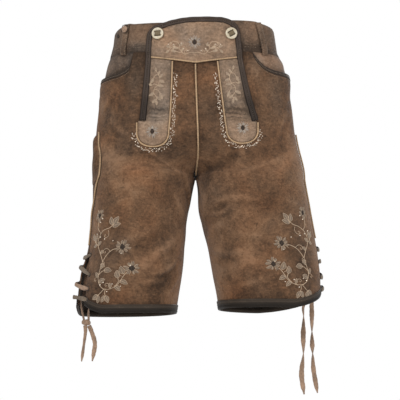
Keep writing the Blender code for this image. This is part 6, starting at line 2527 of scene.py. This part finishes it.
class LederhosenColours(bpy.types.PropertyGroup):
    """The colour of each finish."""

    suede: colour("Suede", (97, 71, 51), "Legs and seat")
    band: colour("Waistband", (98, 79, 64), "Waistband and belt loops")
    hip: colour("Hip pieces", (102, 84, 70), "The pieces above the pocket mouths")
    pale: colour("Yoke", (131, 107, 87), "Upper part of the flap")
    tongue: colour("Tongues", (128, 107, 89), "The patches beside the flap")
    # Painted shade: the inner face is coloured dark to stand in for the shade inside the legs.
    inner: colour("Inner face", (44, 35, 28), "The flesh side of the leather")
    binding: colour("Binding", (66, 55, 48), "The cords round the flap")
    hem: colour("Hem", (66, 56, 47), "Hem strips")
    edge: colour("Mouth edges", (54, 44, 37), "The folded edges of the hip pockets")
    lace: colour("Lacing", (106, 90, 73), "The crossings over the side vents")
    strap: colour("Straps", (112, 98, 76), "The straps through the buttons")
    piping: colour("Piping", (160, 131, 99), "The piping in the seams")
    thong: colour("Thong", (148, 120, 98), "Laces and knots")
    horn: colour("Horn", (190, 179, 158), "Buttons")
    thread: colour("Thread", (180, 155, 128), "Stems, outlines and borders")
    leaf: colour("Leaf thread", (110, 91, 72), "The filling of the leaves")
    silver: colour("Grey thread", (140, 120, 100), "Leaves of the flap and edges of the petals")
    frost: colour("Frost thread", (163, 153, 143), "The rays of the flap's flowers")
    seam: colour("Seam thread", (132, 112, 90), "Seams on the legs")
    shadow: colour("Dark thread", (38, 31, 27), "Seams on the hems")
    bright: colour("Beads", (232, 217, 198), "Small beads in the embroidery")


class LederhosenLeather(bpy.types.PropertyGroup):
    """How the leather is worked."""

    relief: amount("Relief", 0.95, "Depth of the grain")


class LederhosenSewing(bpy.types.PropertyGroup):
    """Thread and bead sizes."""

    stem: length("Stems", 0.00050, "Radius of a stem's cord")
    fine: length("Tendrils", 0.00036, "Radius of a tendril")
    bead: length("Beads", 0.0018, "Width of a bead")
    seed: IntProperty(name="Seed", description="Scatters the dashes round the tongues", default=11, min=0)


class LederhosenStage(bpy.types.PropertyGroup):
    """Camera and lights."""

    distance: length("Distance", 3.5, "From the origin to the camera")
    drop: length("Drop", 0.70, "How far the camera is below the waist")
    key: amount("Key light", 43.0, "Power of the main light")
    fill: amount("Fill light", 17.0, "Power of the light on the other side")
    room: amount("Room light", 0.62, "Strength of the light from all round")


class LEDERHOSEN_OT_stage(bpy.types.Operator):
    """Adds the floor, the lights and the camera."""

    bl_idname = "lederhosen.stage"
    bl_label = "Stage"

    def execute(self, context):
        make_stage(context.scene)
        return {"FINISHED"}


class LEDERHOSEN_OT_laces(bpy.types.Operator):
    """Laces the side vents, with knot and free ends."""

    bl_idname = "lederhosen.laces"
    bl_label = "Laces"

    def execute(self, context):
        make_tails()
        make_bars()
        make_laces()
        return {"FINISHED"}


class LEDERHOSEN_OT_legs(bpy.types.Operator):
    """Makes the front and back panels of both legs."""

    bl_idname = "lederhosen.legs"
    bl_label = "Legs"

    def execute(self, context):
        for side in BOTH:
            name = SIDES[side]
            cut_piece(make_front(side), "suede", FRONT_CUT[side], "front_panel_" + name)
            cut_piece(make_back(side), "suede", BACK_CUT[side], "back_panel_" + name)
        placed(make_seat_turning(), "suede")
        return {"FINISHED"}


class LEDERHOSEN_OT_waistband(bpy.types.Operator):
    """Makes the waistband with its belt loops."""

    bl_idname = "lederhosen.waistband"
    bl_label = "Waistband"

    def execute(self, context):
        for side in BOTH:
            for back, label in ((False, "front_"), (True, "back_")):
                node = "waistband_" + label + SIDES[side]
                cut_piece(make_band(side, back), "suede", BAND_CUT[label], node)
        make_loops()
        return {"FINISHED"}


class LEDERHOSEN_OT_flap(bpy.types.Operator):
    """Makes the flap's yoke and binding and the tongues beside it."""

    bl_idname = "lederhosen.flap"
    bl_label = "Flap"

    def execute(self, context):
        cut_piece(make_yoke(), "light_suede", YOKE_CUT, "flap_yoke")
        placed(make_flap_binding(), "dark_leather", "flap_binding")
        for side in BOTH:
            cut_piece(make_tongue(side), "light_suede", TONGUE_CUT, "tongue_" + SIDES[side])
        return {"FINISHED"}


class LEDERHOSEN_OT_pockets(bpy.types.Operator):
    """Makes the hip pockets' pieces and the knife pocket."""

    bl_idname = "lederhosen.pockets"
    bl_label = "Pockets"

    def execute(self, context):
        for side in BOTH:
            cut_piece(make_hip_piece(side), "suede", HIP_CUT, "hip_facing_" + SIDES[side])
            placed(make_mouth_edge(side), "dark_leather")
            cut_piece(make_vent_facing(side), "suede", VENT_CUT[side])
        cut_piece(make_knife_pocket(), "suede", KNIFE_CUT, "knife_pocket_right")
        return {"FINISHED"}


class LEDERHOSEN_OT_trims(bpy.types.Operator):
    """Makes the hem strips and the piping."""

    bl_idname = "lederhosen.trims"
    bl_label = "Hems and piping"

    def execute(self, context):
        for side in BOTH:
            placed(make_hem(side), "dark_leather", "hem_binding_" + SIDES[side])
        make_pipings()
        return {"FINISHED"}


class LEDERHOSEN_OT_buttons(bpy.types.Operator):
    """Makes the horn buttons and their straps."""

    bl_idname = "lederhosen.buttons"
    bl_label = "Buttons"

    def execute(self, context):
        make_buttons()
        return {"FINISHED"}


class LEDERHOSEN_OT_stitches(bpy.types.Operator):
    """Sews the rows of small stitches along the seams."""

    bl_idname = "lederhosen.stitches"
    bl_label = "Seam stitches"

    def execute(self, context):
        make_seam_stitches()
        return {"FINISHED"}


class LEDERHOSEN_OT_embroidery(bpy.types.Operator):
    """Embroiders the legs, the flap and the tongues."""

    bl_idname = "lederhosen.embroidery"
    bl_label = "Embroidery"

    def execute(self, context):
        make_leg_sprays()
        make_flap_embroidery()
        make_tongue_borders()
        return {"FINISHED"}


STEPS = ["stage", "laces", "legs", "waistband", "flap", "pockets", "trims", "buttons", "stitches", "embroidery"]


class LEDERHOSEN_PT_panel(bpy.types.Panel):
    """Lists the pieces, sizes and colours."""

    bl_label = "Lederhosen"
    bl_space_type = "VIEW_3D"
    bl_region_type = "UI"
    bl_category = "Lederhosen"

    def draw(self, context):
        for step in STEPS:
            self.layout.operator("lederhosen." + step)
        for group in GROUPS:
            values = getattr(context.scene, group)
            for name in values.bl_rna.properties.keys():
                if name not in ("rna_type", "name"):
                    self.layout.prop(values, name)


GROUPS = {
    "lederhosen_colours": LederhosenColours,
    "lederhosen_leather": LederhosenLeather,
    "lederhosen_sewing": LederhosenSewing,
    "lederhosen_stage": LederhosenStage,
}
CLASSES = [
    *GROUPS.values(),
    LEDERHOSEN_OT_stage,
    LEDERHOSEN_OT_laces,
    LEDERHOSEN_OT_legs,
    LEDERHOSEN_OT_waistband,
    LEDERHOSEN_OT_flap,
    LEDERHOSEN_OT_pockets,
    LEDERHOSEN_OT_trims,
    LEDERHOSEN_OT_buttons,
    LEDERHOSEN_OT_stitches,
    LEDERHOSEN_OT_embroidery,
    LEDERHOSEN_PT_panel,
]


def register():
    for item in CLASSES:
        bpy.utils.register_class(item)
    for name, group in GROUPS.items():
        setattr(bpy.types.Scene, name, PointerProperty(type=group))


def unregister():
    for name in GROUPS:
        delattr(bpy.types.Scene, name)
    for item in reversed(CLASSES):
        bpy.utils.unregister_class(item)


def main():
    register()
    for step in STEPS:
        getattr(bpy.ops.lederhosen, step)()


if __name__ == "__main__":
    main()
